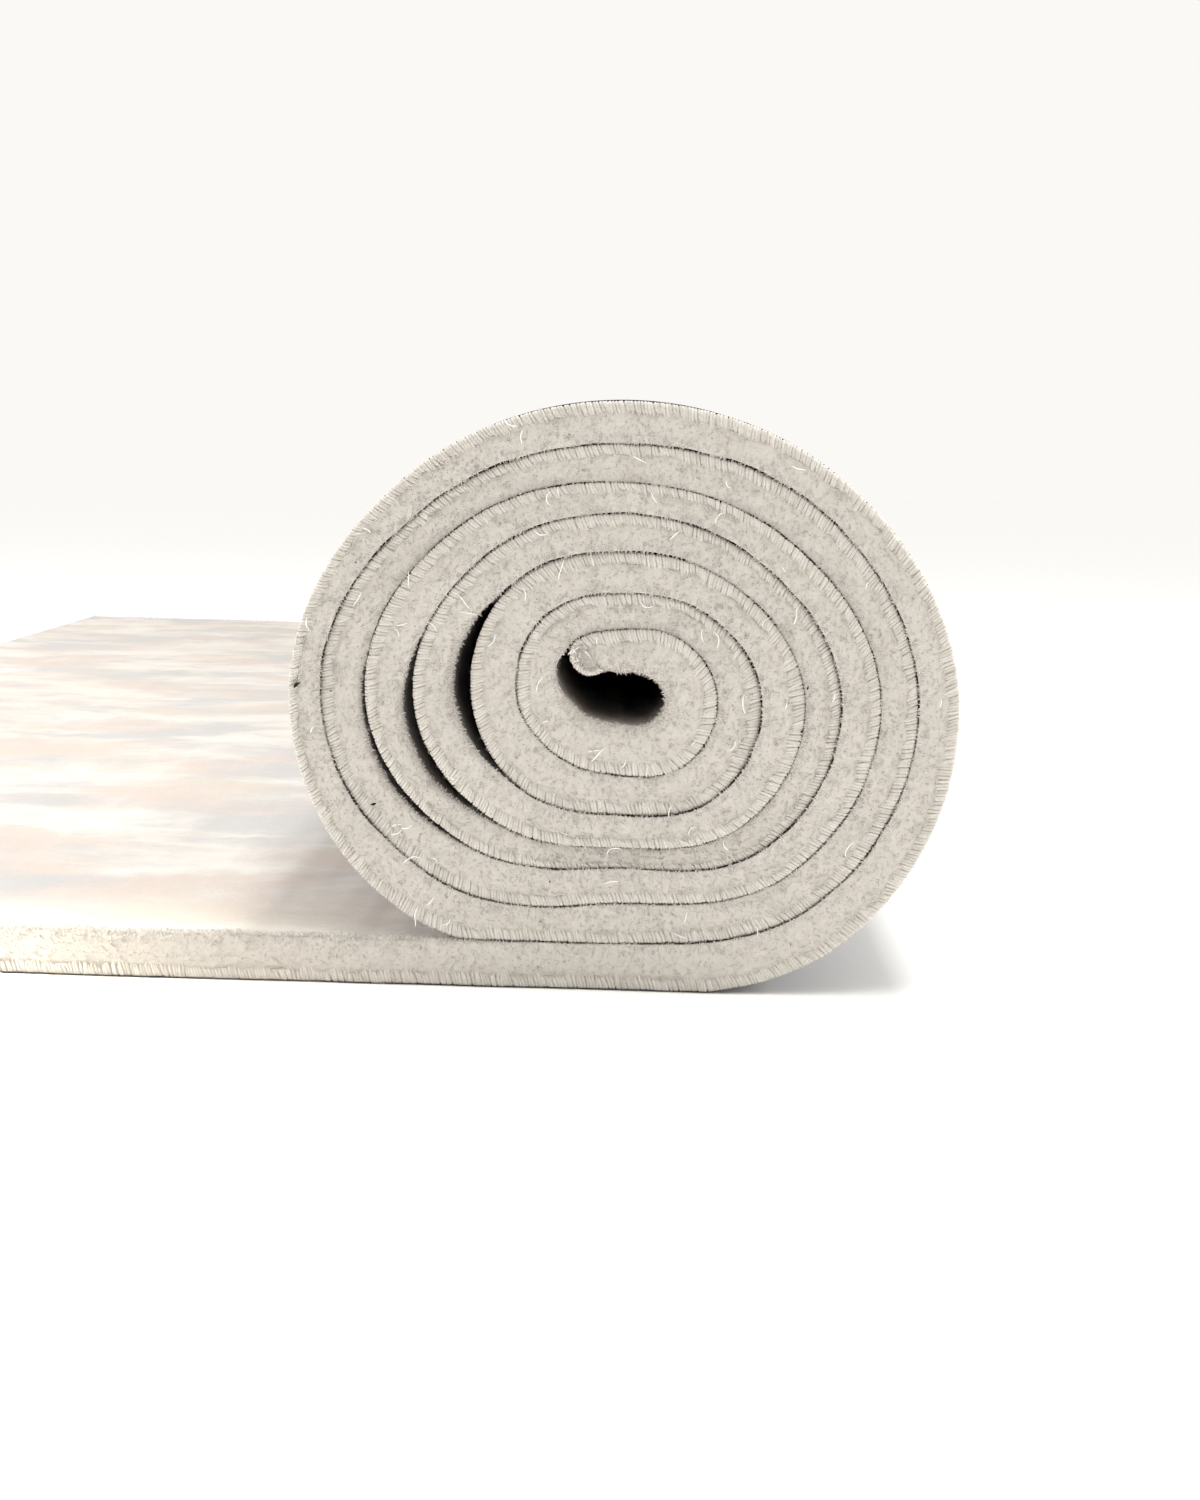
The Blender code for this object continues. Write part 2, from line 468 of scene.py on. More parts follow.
@dataclass
class Carpet:
    """Places points by length along the carpet, place across its width, and height from its back."""

    winding: Winding
    telescoping: float = 1.3 * MM
    telescoping_step: float = 0.21
    edge_wander: float = 0.55 * MM
    wander_reach: float = 30 * MM
    wander_steps: tuple[float, float] = (0.019, 0.07)
    bulge: float = 1.7 * MM
    bulge_rise: float = 55 * MM
    bulge_steps: tuple[float, float] = (0.09, 0.31)
    flat_rim: float = 4 * MM
    # Degrees before the flat end: where the bulge starts, is full, is still full and has gone
    bulge_span: tuple[float, ...] = (285.0, 225.0, 130.0, 60.0)
    yarn_height: float = 5.2 * MM
    yarn_height_share: float = 0.40

    def __post_init__(self) -> None:
        """Fix the random unevenness, and where along the carpet the outermost turn is."""
        self.ripple = Ripple(seed=11)

        def length_before_end(degrees: float) -> float:
            """The length at which this many degrees of the winding are left."""
            angles = self.winding.angles
            return float(np.interp(angles[-1] - degrees, angles, self.winding.length[: len(angles)]))

        starts, full, ends, gone = (length_before_end(degrees) for degrees in self.bulge_span)
        self.bulge_from = (starts, full)
        self.bulge_to = (ends, gone)

    @property
    def half_width(self) -> float:
        """Half the carpet's width."""
        return self.winding.carpet_width / 2

    def telescope(self, length: np.ndarray) -> np.ndarray:
        """How far the carpet has slipped along the roll's axis at each length."""
        return self.telescoping * self.ripple.along(length, self.telescoping_step)

    def end_outline(self, inner: bool, turns: np.ndarray, reach: np.ndarray) -> np.ndarray:
        """Points in the half-round section of the yarn over a cut end.

        Args:
            inner: Whether it is the end inside the roll.
            turns: Angles round the section in radians, from the back to the pile's face.
            reach: How far out each point is: 0 at the section's middle and 1 on its outline.

        Returns:
            Rows of X and Z.
        """
        back, up, outwards, thickness = self.winding.end_section(inner)
        radius = thickness / 2
        rise = radius * (1 + reach * np.sin(turns))
        out = self.winding.piece_gap + self.winding.edge_yarn_width * reach * np.cos(turns)
        return back + up * rise[:, None] + outwards * out[:, None]

    def edge_yarn_height(self, thickness: np.ndarray) -> np.ndarray:
        """How far up the cut side the edge yarn reaches from the back."""
        return np.minimum(self.yarn_height, self.yarn_height_share * thickness)

    def place(self, length: np.ndarray, y: np.ndarray, height: np.ndarray) -> np.ndarray:
        """Place points of the carpet in the world.

        Args:
            length: Metres from the inner end along the back, one for each row.
            y: Place across the width, one row for each length.
            height: Metres from the back towards the pile's face, in the same rows.

        Returns:
            Rows of points.
        """
        read = self.winding.at(length)
        rows = np.asarray(length)[:, None]
        thickness = read["thickness"][:, None]
        rise = np.clip((rows - self.bulge_from[0]) / (self.bulge_from[1] - self.bulge_from[0]), 0, 1)
        fall = np.clip((self.bulge_to[1] - rows) / (self.bulge_to[1] - self.bulge_to[0]), 0, 1)
        inside = np.clip((self.half_width - self.flat_rim - np.abs(y)) / self.bulge_rise, 0, 1)
        uneven = 0.5 + 0.5 * self.ripple.over(rows, y, *self.bulge_steps)
        amount = self.bulge * uneven * ease(rise) * ease(fall) * ease(inside)
        lifted = height - amount * (1 - np.clip(height / thickness, 0, 1))
        shift = self.telescope(rows)
        near_edge = np.clip((np.abs(y) - self.half_width + self.wander_reach) / self.wander_reach, 0, 1)
        # The short wave and the long one start at different places of the same table
        short, long = self.wander_steps
        wander = self.ripple.along(rows + 5.0, short) + 0.8 * self.ripple.along(rows + 9.0, long)
        side = np.sign(y)
        moved = y + shift + side * near_edge * self.edge_wander * wander
        points = np.empty((*lifted.shape, 3))
        points[..., 0] = read["back"][:, :1] + read["across"][:, :1] * lifted
        points[..., 1] = moved
        points[..., 2] = read["back"][:, 1:] + read["across"][:, 1:] * lifted
        return points

    def seats(
        self,
        lengths: np.ndarray,
        y: np.ndarray,
        height: np.ndarray,
        upright: np.ndarray,
        stretch: np.ndarray,
    ) -> "Seats":
        """Seat one strand at each length, with its own X along the carpet.

        Args:
            lengths: Metres from the inner end along the back.
            y: Place across the width, one for each length.
            height: Metres from the back, one for each length.
            upright: The way that each strand stands.
            stretch: Its size along its own X, Y and Z.

        Returns:
            The seats.
        """
        points = self.place(lengths, y[:, None], height[:, None])[:, 0]
        return Seats(points, upright, in_plane(self.winding.at(lengths)["along"]), stretch, lengths)

    def out_of_edge(self, edge: Edge, lengths: np.ndarray, turned: np.ndarray) -> np.ndarray:
        """Work out ways that point out of one long edge.

        Args:
            edge: Which long edge.
            lengths: Metres from the inner end along the back.
            turned: How far each way turns towards the pile's face, in radians.

        Returns:
            Rows of X, Y and Z.
        """
        ways = in_plane(self.winding.at(lengths)["square"]) * np.sin(turned)[:, None]
        ways[:, 1] = edge.value * np.cos(turned)
        return ways

    def loft(self, name: str, lengths: np.ndarray, y: np.ndarray, height: np.ndarray) -> bpy.types.Object:
        """Make one closed solid through outlines across the width, one for each length.

        Args:
            name: The object's name.
            lengths: Where the outlines are along the carpet.
            y: Each outline's places across the width, a row for each length.
            height: Each outline's heights from the back.

        Returns:
            The object, with a UV map of metres along the length and across the width.
        """
        points = self.place(lengths, y, height)
        rows, columns = y.shape
        numbers = np.arange(rows * columns).reshape(rows, columns)
        after = np.roll(numbers, -1, axis=1)
        quads = np.stack((numbers[:-1], after[:-1], after[1:], numbers[1:]), axis=-1).reshape(-1, 4)
        caps = [list(map(int, numbers[0][::-1])), list(map(int, numbers[-1]))]
        flat_uv = np.stack((np.broadcast_to(lengths[:, None], y.shape), y), axis=-1).reshape(-1, 2)
        return closed_mesh(name, points.reshape(-1, 3), quads.tolist() + caps, flat_uv)


# ---------------------------------------------------------------------------------------------
# Finishes
# ---------------------------------------------------------------------------------------------


def principled(name: str, roughness: float) -> tuple[bpy.types.Material, bpy.types.NodeTree, bpy.types.Node]:
    """Start a material with the standard shader.

    Args:
        name: The material's name.
        roughness: The shader's roughness.

    Returns:
        The material, its node tree and its shader node.
    """
    material = bpy.data.materials.new(name)
    material.use_nodes = True
    shader = material.node_tree.nodes["Principled BSDF"]
    shader.inputs["Roughness"].default_value = roughness
    shader.inputs["Metallic"].default_value = 0.0
    shader.inputs["Specular IOR Level"].default_value = 0.2
    return material, material.node_tree, shader


def fill_ramp(node: bpy.types.Node, stops: Sequence[tuple[float, str]]) -> None:
    """Set a colour ramp's stops.

    Args:
        node: The ramp node.
        stops: Places from 0 to 1, each with a hex colour.
    """
    elements = node.color_ramp.elements
    while len(elements) < len(stops):
        elements.new(1.0)
    for element, (place, colour) in zip(elements, stops):
        element.position = place
        element.color = linear(colour)


@dataclass(frozen=True)
class Grain:
    """The finest detail of a finish: a speckle in its colour and, where it is deep enough, a bump."""

    size: float
    tones: tuple[float, float] = (0.94, 1.04)
    depth: float = 0.0
    strength: float = 0.4
    detail: float = 2.0
    roughness: float = 0.5

    def finish(
        self, tree: bpy.types.NodeTree, shader: bpy.types.Node, colour: bpy.types.NodeSocket | tuple
    ) -> None:
        """Speckle a colour and put it on the shader.

        Args:
            tree: The material's node tree.
            shader: Its shader node.
            colour: The socket or the plain colour that is speckled.
        """
        where = add_node(tree, "ShaderNodeTexCoord")
        noise = add_node(
            tree,
            "ShaderNodeTexNoise",
            Vector=where.outputs["Object"],
            Scale=1 / self.size,
            Detail=self.detail,
            Roughness=self.roughness,
        )
        low, high = self.tones
        tone = add_node(
            tree, "ShaderNodeMapRange", Value=noise.outputs["Fac"], _1=0.3, _2=0.7, _3=low, _4=high
        )
        speckled = add_node(
            tree, "ShaderNodeVectorMath", {"operation": "SCALE"}, _0=colour, Scale=tone.outputs["Result"]
        )
        tree.links.new(speckled.outputs["Vector"], shader.inputs["Base Color"])
        if self.depth:
            bump = add_node(
                tree,
                "ShaderNodeBump",
                Strength=self.strength,
                Distance=self.depth,
                Height=noise.outputs["Fac"],
            )
            tree.links.new(bump.outputs["Normal"], shader.inputs["Normal"])


@dataclass(frozen=True)
class CutPileWool:
    """Cut-pile wool yarn, dyed in soft mottled tones: matt, with a velvet sheen and a fine grain."""

    name: str = "cut_pile_wool"
    cream: str = "#dad7d3"
    beige: str = "#cbc4bb"
    rose_beige: str = "#cdc0b9"
    pale_grey: str = "#bcbcbd"
    side: str = "#cac5be"
    # From where to where, in metres from the carpet's middle, the mottling fades out
    side_from: tuple[float, float] = (0.9945, 0.9985)
    blotch: float = 100 * MM
    blotch_edge: tuple[float, float] = (0.44, 0.66)
    streak: float = 30 * MM
    streak_stretch: tuple[float, float, float] = (1.0, 0.6, 1.0)
    streak_tones: tuple[float, float] = (0.975, 1.015)
    tuft: float = 1.3 * MM
    sheen: float = 0.35
    sheen_roughness: float = 0.5
    sheen_tint: str = "#fff6ea"
    roughness: float = 0.95

    def make(self) -> bpy.types.Material:
        """Build the material.

        Returns:
            The material, which reads the piece's own map of metres along and across the carpet.
        """
        material, tree, shader = principled(self.name, self.roughness)
        shader.inputs["Sheen Weight"].default_value = self.sheen
        shader.inputs["Sheen Roughness"].default_value = self.sheen_roughness
        shader.inputs["Sheen Tint"].default_value = linear(self.sheen_tint)
        place = add_node(tree, "ShaderNodeUVMap", {"uv_map": CARPET_MAP}).outputs["UV"]
        streaked = self._streaks(tree, place, self._mottling(tree, place))
        # The cut side shows the yarn's undyed length, so the mottling fades out at the edges
        across = add_node(tree, "ShaderNodeSeparateXYZ", Vector=place)
        outwards = add_node(tree, "ShaderNodeMath", {"operation": "ABSOLUTE"}, _0=across.outputs["Y"])
        start, stop = self.side_from
        near_side = add_node(
            tree, "ShaderNodeMapRange", Value=outwards.outputs["Value"], _1=start, _2=stop, _3=0.0, _4=1.0
        )
        coloured = add_node(
            tree,
            "ShaderNodeMix",
            {"data_type": "RGBA"},
            _0=near_side.outputs["Result"],
            _6=streaked,
            _7=linear(self.side),
        )
        tufts = Grain(self.tuft, (0.9, 1.04), self.tuft / 6, strength=0.6, roughness=0.7)
        tufts.finish(tree, shader, coloured.outputs[2])
        return material

    def _mottling(self, tree: bpy.types.NodeTree, place: bpy.types.NodeSocket) -> bpy.types.NodeSocket:
        """Lay soft clouds of the three darker tones over the cream, each with its own noise.

        Args:
            tree: The material's node tree.
            place: Metres along and across the carpet.

        Returns:
            The mottled colour.
        """
        wide = add_node(
            tree,
            "ShaderNodeTexNoise",
            {"noise_dimensions": "2D"},
            Vector=place,
            Scale=1 / self.blotch,
            Detail=5.0,
            Roughness=0.6,
            Distortion=0.2,
        )
        clouds = add_node(tree, "ShaderNodeSeparateColor", Color=wide.outputs["Color"])
        start, stop = self.blotch_edge
        mottled = linear(self.cream)
        for channel, tone in (("Red", self.beige), ("Green", self.rose_beige), ("Blue", self.pale_grey)):
            amount = add_node(
                tree,
                "ShaderNodeMapRange",
                {"interpolation_type": "SMOOTHSTEP"},
                Value=clouds.outputs[channel],
                _1=start,
                _2=stop,
                _3=0.0,
                _4=1.0,
            )
            mixed = add_node(
                tree,
                "ShaderNodeMix",
                {"data_type": "RGBA"},
                _0=amount.outputs["Result"],
                _6=mottled,
                _7=linear(tone),
            )
            mottled = mixed.outputs[2]
        return mottled

    def _streaks(
        self, tree: bpy.types.NodeTree, place: bpy.types.NodeSocket, mottled: bpy.types.NodeSocket
    ) -> bpy.types.NodeSocket:
        """Make the colour a little lighter and darker along the rows of tufts.

        Args:
            tree: The material's node tree.
            place: Metres along and across the carpet.
            mottled: The colour that is streaked.

        Returns:
            The streaked colour.
        """
        stretched = add_node(tree, "ShaderNodeMapping", Vector=place, Scale=self.streak_stretch)
        fine = add_node(
            tree,
            "ShaderNodeTexNoise",
            {"noise_dimensions": "2D"},
            Vector=stretched.outputs["Vector"],
            Scale=1 / self.streak,
            Detail=2.0,
            Roughness=0.5,
        )
        low, high = self.streak_tones
        tone = add_node(
            tree, "ShaderNodeMapRange", Value=fine.outputs["Fac"], _1=0.35, _2=0.65, _3=low, _4=high
        )
        return add_node(
            tree, "ShaderNodeVectorMath", {"operation": "SCALE"}, _0=mottled, Scale=tone.outputs["Result"]
        ).outputs["Vector"]


@dataclass(frozen=True)
class WoolYarn:
    """Undyed wool yarn, each tuft or stitch a little lighter or darker than the next: soft and matt."""

    name: str
    shades: tuple[str, ...]
    grain: Grain
    sheen: float
    roughness: float

    def make(self) -> bpy.types.Material:
        """Build the material.

        Returns:
            The material, which reads the shade stored on each tuft or stitch.
        """
        material, tree, shader = principled(self.name, self.roughness)
        shader.inputs["Sheen Weight"].default_value = self.sheen
        shade = add_node(tree, "ShaderNodeAttribute", {"attribute_name": SHADE})
        ramp = add_node(tree, "ShaderNodeValToRGB", Fac=shade.outputs["Fac"])
        last = len(self.shades) - 1
        fill_ramp(ramp, [(number / last, tone) for number, tone in enumerate(self.shades)])
        self.grain.finish(tree, shader, ramp.outputs["Color"])
        return material


# The cut side of the pile: the ends of single wool tufts, which hold the light like velvet
TUFT_YARN = WoolYarn(
    name="pile_tuft_yarn",
    shades=("#bfbab4", "#d8d4cf"),
    grain=Grain(0.7 * MM, depth=0.1 * MM),
    sheen=0.3,
    roughness=0.95,
)
# Cream wool yarn whipped over the edge: spun tighter than the pile, so a little less matt
EDGE_YARN = WoolYarn(
    name="whipped_edge_yarn",
    shades=("#c7c2ba", "#cfcac3", "#d6d2cb"),
    grain=Grain(0.6 * MM, depth=0.12 * MM, detail=3.0),
    sheen=0.25,
    roughness=0.85,
)


@dataclass(frozen=True)
class BackingCloth:
    """Dark plain-woven cotton glued to the back: matt, with the weave, painted shade between its threads and
    worn patches showing.
    """

    name: str = "backing_cloth"
    thread: str = "#2b2f3a"
    # Painted shade: the colour put into the recesses between the threads
    shaded_gap: str = "#15171d"
    faded: str = "#3a3e48"
    thread_spacing: float = 1.1 * MM
    thread_depth: float = 0.4 * MM
    worn_patch: float = 60 * MM
    roughness: float = 0.92

    def make(self) -> bpy.types.Material:
        """Build the material.

        Returns:
            The material, which reads the piece's own map of metres along and across the carpet.
        """
        material, tree, shader = principled(self.name, self.roughness)
        place = add_node(tree, "ShaderNodeUVMap", {"uv_map": CARPET_MAP})
        # Drawn at twice the real thread spacing, so that the weave shows in the render
        turns = math.pi / self.thread_spacing
        axes = add_node(tree, "ShaderNodeSeparateXYZ", Vector=place.outputs["UV"])
        waves = []
        for axis in ("X", "Y"):
            scaled = add_node(
                tree, "ShaderNodeMath", {"operation": "MULTIPLY"}, _0=axes.outputs[axis], _1=turns
            )
            waves.append(add_node(tree, "ShaderNodeMath", {"operation": "SINE"}, _0=scaled.outputs["Value"]))
        along, across = (wave.outputs["Value"] for wave in waves)
        crossed = add_node(tree, "ShaderNodeMath", {"operation": "MULTIPLY"}, _0=along, _1=across)
        height = add_node(tree, "ShaderNodeMath", {"operation": "ABSOLUTE"}, _0=crossed.outputs["Value"])
        worn = add_node(
            tree,
            "ShaderNodeTexNoise",
            {"noise_dimensions": "2D"},
            Vector=place.outputs["UV"],
            Scale=1 / self.worn_patch,
            Detail=6.0,
            Roughness=0.65,
        )
        ramp = add_node(tree, "ShaderNodeValToRGB", Fac=worn.outputs["Fac"])
        fill_ramp(ramp, ((0.35, self.thread), (0.65, self.faded)))
        # Painted shade: the low parts of the weave, between the threads, get the dark colour
        coloured = add_node(
            tree,
            "ShaderNodeMix",
            {"data_type": "RGBA"},
            _0=height.outputs["Value"],
            _6=linear(self.shaded_gap),
            _7=ramp.outputs["Color"],
        )
        tree.links.new(coloured.outputs[2], shader.inputs["Base Color"])
        bump = add_node(
            tree,
            "ShaderNodeBump",
            Strength=0.8,
            Distance=self.thread_depth,
            Height=height.outputs["Value"],
        )
        tree.links.new(bump.outputs["Normal"], shader.inputs["Normal"])
        return material


@dataclass(frozen=True)
class PlainFinish:
    """One colour with a soft uneven tone."""

    name: str
    colour: str
    roughness: float = 0.8
    unevenness: float = 0.05
    scale: float = 3 * MM

    def make(self) -> bpy.types.Material:
        """Build the material.

        Returns:
            The material.
        """
        material, tree, shader = principled(self.name, self.roughness)
        grain = Grain(self.scale, (1 - self.unevenness, 1.0))
        grain.finish(tree, shader, linear(self.colour)[:3])
        return material


# Single wool hairs, which let light through and look almost white
LOOSE_HAIR = PlainFinish("loose_wool_hair", "#fffefb")
# Dark cotton lint from the backing: dull
LINT = PlainFinish("dark_lint", "#1d1d20")
# A painted studio floor and a black card: quite matt and even
FLOOR_PAINT = PlainFinish("pale_floor", "#ffffff", roughness=1.0, unevenness=0.0, scale=1.0)
BLACK_CARD = PlainFinish("dark_card", "#0c0c0c", roughness=1.0, unevenness=0.0, scale=1.0)


# ---------------------------------------------------------------------------------------------
# What repeats
# ---------------------------------------------------------------------------------------------


@dataclass
class Strand:
    """A short length of yarn or fibre that is repeated, in its own frame: Z is the way it stands."""

    points: Sequence[tuple[float, float, float]]
    radii: Sequence[float]
    sides: int = 5

    def make(self, name: str) -> bpy.types.Object:
        """Build a closed tube along the points.

        Args:
            name: The object's name.

        Returns:
            The object.
        """
        path = [Vector(p) for p in self.points]
        last = len(path) - 1
        sideways = Vector((1.0, 0.0, 0.0))
        verts, faces = [], []
        for k, point in enumerate(path):
            forward = (path[min(k + 1, last)] - path[max(k - 1, 0)]).normalized()
            first = (sideways - forward * sideways.dot(forward)).normalized()
            second = forward.cross(first)
            for turn in range(self.sides):
                angle = 2 * math.pi * turn / self.sides
                verts.append(point + (first * math.cos(angle) + second * math.sin(angle)) * self.radii[k])
        for k in range(last):
            for turn in range(self.sides):
                a, b = k * self.sides + turn, k * self.sides + (turn + 1) % self.sides
                faces.append([a, b, b + self.sides, a + self.sides])
        faces.append(list(range(self.sides))[::-1])
        faces.append([last * self.sides + turn for turn in range(self.sides)])
        points = np.array([tuple(v) for v in verts])
        return closed_mesh(name, points, faces, points[:, :2])


@dataclass
class FibreTip:
    """A slim three-sided spike for a single fibre, in its own frame: Z is the way it stands."""

    tip: tuple[float, float, float]
    radius: float
    sides: int = 3

    def make(self, name: str) -> bpy.types.Object:
        """Build the closed spike, with flat faces.

        Args:
            name: The object's name.

        Returns:
            The object.
        """
        angles = [2 * math.pi * turn / self.sides for turn in range(self.sides)]
        base = [(self.radius * math.cos(angle), self.radius * math.sin(angle), 0.0) for angle in angles]
        faces = [[k, (k + 1) % self.sides, self.sides] for k in range(self.sides)]
        faces.append(list(range(self.sides))[::-1])
        points = np.array([*base, self.tip])
        return closed_mesh(name, points, faces, points[:, :2], rounded=False)


@dataclass
class RepeatTree:
    """A Geometry Nodes tree that sets a strand on every seat, turned, leant and sized at random."""

    name: str
    seed: int
    lean: float
    group_lean: float
    group_size: float
    size_change: float
    tilt: float = 0.0

    @property
    def sizes(self) -> dict[str, float]:
        """The tree's own sizes.

        Returns:
            Sizes by input name: leans and tilt in radians, the size of a leaning group in metres.
        """
        return {
            "Lean": self.lean,
            "Group Lean": self.group_lean,
            "Group Size": self.group_size,
            "Size Change": self.size_change,
            "Tilt": self.tilt,
        }

    def build(self) -> bpy.types.NodeTree:
        """Build the tree, with its sizes as named inputs.

        Returns:
            The node tree. Its seats are points with upright, forward, stretch and run attributes.
        """
        tree = bpy.data.node_groups.new(self.name, "GeometryNodeTree")
        face = tree.interface
        face.new_socket("Geometry", in_out="INPUT", socket_type="NodeSocketGeometry")
        face.new_socket("Strand", in_out="INPUT", socket_type="NodeSocketObject")
        face.new_socket("Finish", in_out="INPUT", socket_type="NodeSocketMaterial")
        for label in self.sizes:
            face.new_socket(label, in_out="INPUT", socket_type="NodeSocketFloat")
        face.new_socket("Seed", in_out="INPUT", socket_type="NodeSocketInt")
        face.new_socket("Geometry", in_out="OUTPUT", socket_type="NodeSocketGeometry")
        given = add_node(tree, "NodeGroupInput").outputs
        seats = add_node(tree, "GeometryNodeMeshToPoints", {"mode": "VERTICES"}, Mesh=given["Geometry"])
        strand = add_node(
            tree, "GeometryNodeObjectInfo", {"transform_space": "ORIGINAL"}, Object=given["Strand"]
        )
        change = self._math(tree, "MULTIPLY", self._random(tree, given, 2.0, -1.0), given["Size Change"])
        size = add_node(
            tree,
            "ShaderNodeVectorMath",
            {"operation": "SCALE"},
            _0=self._read(tree, "stretch", "FLOAT_VECTOR"),
            Scale=self._math(tree, "ADD", change, 1.0),
        )
        spots = add_node(
            tree,
            "GeometryNodeInstanceOnPoints",
            Points=seats.outputs[0],
            Instance=strand.outputs["Geometry"],
            Rotation=self._turning(tree, given),
            Scale=size.outputs["Vector"],
        )
        shaded = add_node(
            tree,
            "GeometryNodeStoreNamedAttribute",
            {"data_type": "FLOAT", "domain": "INSTANCE"},
            Geometry=spots.outputs[0],
            Name=SHADE,
            Value=self._random(tree, given, 3.0, 0.0),
        )
        real = add_node(tree, "GeometryNodeRealizeInstances", Geometry=shaded.outputs[0])
        dressed = add_node(
            tree, "GeometryNodeSetMaterial", Geometry=real.outputs[0], Material=given["Finish"]
        )
        add_node(tree, "NodeGroupOutput", Geometry=dressed.outputs[0])
        return tree

    def _turning(self, tree: bpy.types.NodeTree, given: bpy.types.NodeOutputs) -> bpy.types.NodeSocket:
        """Stand each strand on its seat, then lean it with its group and a little on its own.

        Args:
            tree: The node tree.
            given: The tree's inputs.

        Returns:
            The rotation.
        """
        stand = add_node(
            tree,
            "FunctionNodeAxesToRotation",
            {"primary_axis": "Z", "secondary_axis": "X"},
            _0=self._read(tree, "upright", "FLOAT_VECTOR"),
            _1=self._read(tree, "forward", "FLOAT_VECTOR"),
        )
        own_lean = self._math(tree, "MULTIPLY", self._random(tree, given, 0.0, -1.0), given["Lean"])
        spread = self._math(tree, "DIVIDE", self._read(tree, "run", "FLOAT"), given["Group Size"])
        wave = add_node(
            tree, "ShaderNodeTexNoise", {"noise_dimensions": "1D"}, W=spread, Scale=1.0, Detail=1.0
        )
        centred = self._math(tree, "SUBTRACT", wave.outputs["Fac"], 0.5)
        group_lean = self._math(tree, "MULTIPLY", centred, given["Group Lean"])
        lean = self._math(tree, "ADD", own_lean, group_lean)
        tilt = self._math(tree, "MULTIPLY", self._random(tree, given, 1.0, -1.0), given["Tilt"])
        turn = add_node(tree, "ShaderNodeCombineXYZ", X=tilt, Y=lean, Z=0.0)
        return add_node(
            tree,
            "FunctionNodeRotateRotation",
            {"rotation_space": "LOCAL"},
            _0=stand.outputs[0],
            _1=turn.outputs[0],
        ).outputs[0]

    def _random(
        self, tree: bpy.types.NodeTree, given: bpy.types.NodeOutputs, draw: float, low: float
    ) -> bpy.types.NodeSocket:
        """Draw a random value for each strand.

        Args:
            tree: The node tree.
            given: The tree's inputs.
            draw: The draw's own number, which keeps it apart from the others.
            low: The lowest value; the highest is 1.

        Returns:
            The value.
        """
        seed = self._math(tree, "ADD", given["Seed"], draw)
        node = add_node(tree, "FunctionNodeRandomValue", {"data_type": "FLOAT"}, _2=low, _3=1.0, Seed=seed)
        return node.outputs[1]

    def _read(self, tree: bpy.types.NodeTree, name: str, kind: str) -> bpy.types.NodeSocket:
        """Read an attribute of the seats."""
        node = add_node(tree, "GeometryNodeInputNamedAttribute", {"data_type": kind}, Name=name)
        return node.outputs["Attribute"]

    def _math(
        self,
        tree: bpy.types.NodeTree,
        operation: str,
        first: bpy.types.NodeSocket | float,
        second: bpy.types.NodeSocket | float,
    ) -> bpy.types.NodeSocket:
        """Join two values by a sum, a difference, a product or a ratio."""
        return add_node(tree, "ShaderNodeMath", {"operation": operation}, _0=first, _1=second).outputs[0]

    def repeat(
        self, name: str, seats: "Seats", strand: Strand | FibreTip, finish: bpy.types.Material
    ) -> bpy.types.Object:
        """Set the strand on every seat, and turn the result into a plain mesh.

        Args:
            name: The finished object's name.
            seats: Where the strands stand.
            strand: What is repeated.
            finish: The finished object's material.

        Returns:
            The object, with no modifier left on it.
        """
        tree = self.build()
        holder = seats.make(name + "_seats")
        shape = strand.make(name + "_strand")
        modifier = holder.modifiers.new("repeat", "NODES")
        modifier.node_group = tree
        sockets = {
            item.name: item.identifier for item in tree.interface.items_tree if item.in_out == "INPUT"
        }
        given = {"Strand": shape, "Finish": finish, "Seed": self.seed, **self.sizes}
        for label, value in given.items():
            modifier[sockets[label]] = value
        bpy.context.view_layer.update()
        evaluated = holder.evaluated_get(bpy.context.evaluated_depsgraph_get())
        mesh = bpy.data.meshes.new_from_object(evaluated)
        mesh.name = name
        holder.modifiers.remove(modifier)
        for used in (holder, shape):
            bpy.data.objects.remove(used)
        return linked(name, mesh)


@dataclass
class Seats:
    """The places where strands stand, with the way up, the way forward and a size for each."""

    points: np.ndarray
    upright: np.ndarray
    forward: np.ndarray
    stretch: np.ndarray
    run: np.ndarray

    def with_more(self, more: "Seats") -> "Seats":
        """Join another set of seats after this one."""
        labels = ("points", "upright", "forward", "stretch", "run")
        return Seats(*(np.concatenate((getattr(self, x), getattr(more, x))) for x in labels))

    def make(self, name: str) -> bpy.types.Object:
        """Build an object that has one loose point for each seat.

        Args:
            name: The object's name.

        Returns:
            The object, linked to the scene.
        """
        mesh = bpy.data.meshes.new(name)
        mesh.vertices.add(len(self.points))
        mesh.vertices.foreach_set("co", self.points.astype(np.float32).ravel())
        for label in ("upright", "forward", "stretch"):
            layer = mesh.attributes.new(label, "FLOAT_VECTOR", "POINT")
            layer.data.foreach_set("vector", getattr(self, label).astype(np.float32).ravel())
        layer = mesh.attributes.new("run", "FLOAT", "POINT")
        layer.data.foreach_set("value", self.run.astype(np.float32))
        return linked(name, mesh)


# ---------------------------------------------------------------------------------------------
# The carpet's pieces
# ---------------------------------------------------------------------------------------------


def dress(piece: bpy.types.Object, slot: Slot, *nodes: str) -> bpy.types.Object:
    """Let a piece move with the carpet, and hide the CAD nodes that it stands for.

    Args:
        piece: The finished object.
        slot: Not used.
        *nodes: CAD nodes that it replaces.

    Returns:
        The same object.
    """
    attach(piece, ROOT)
    if nodes:
        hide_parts(*nodes)
    LOG.info("%s: %d faces", piece.name, len(piece.data.polygons))
    return piece


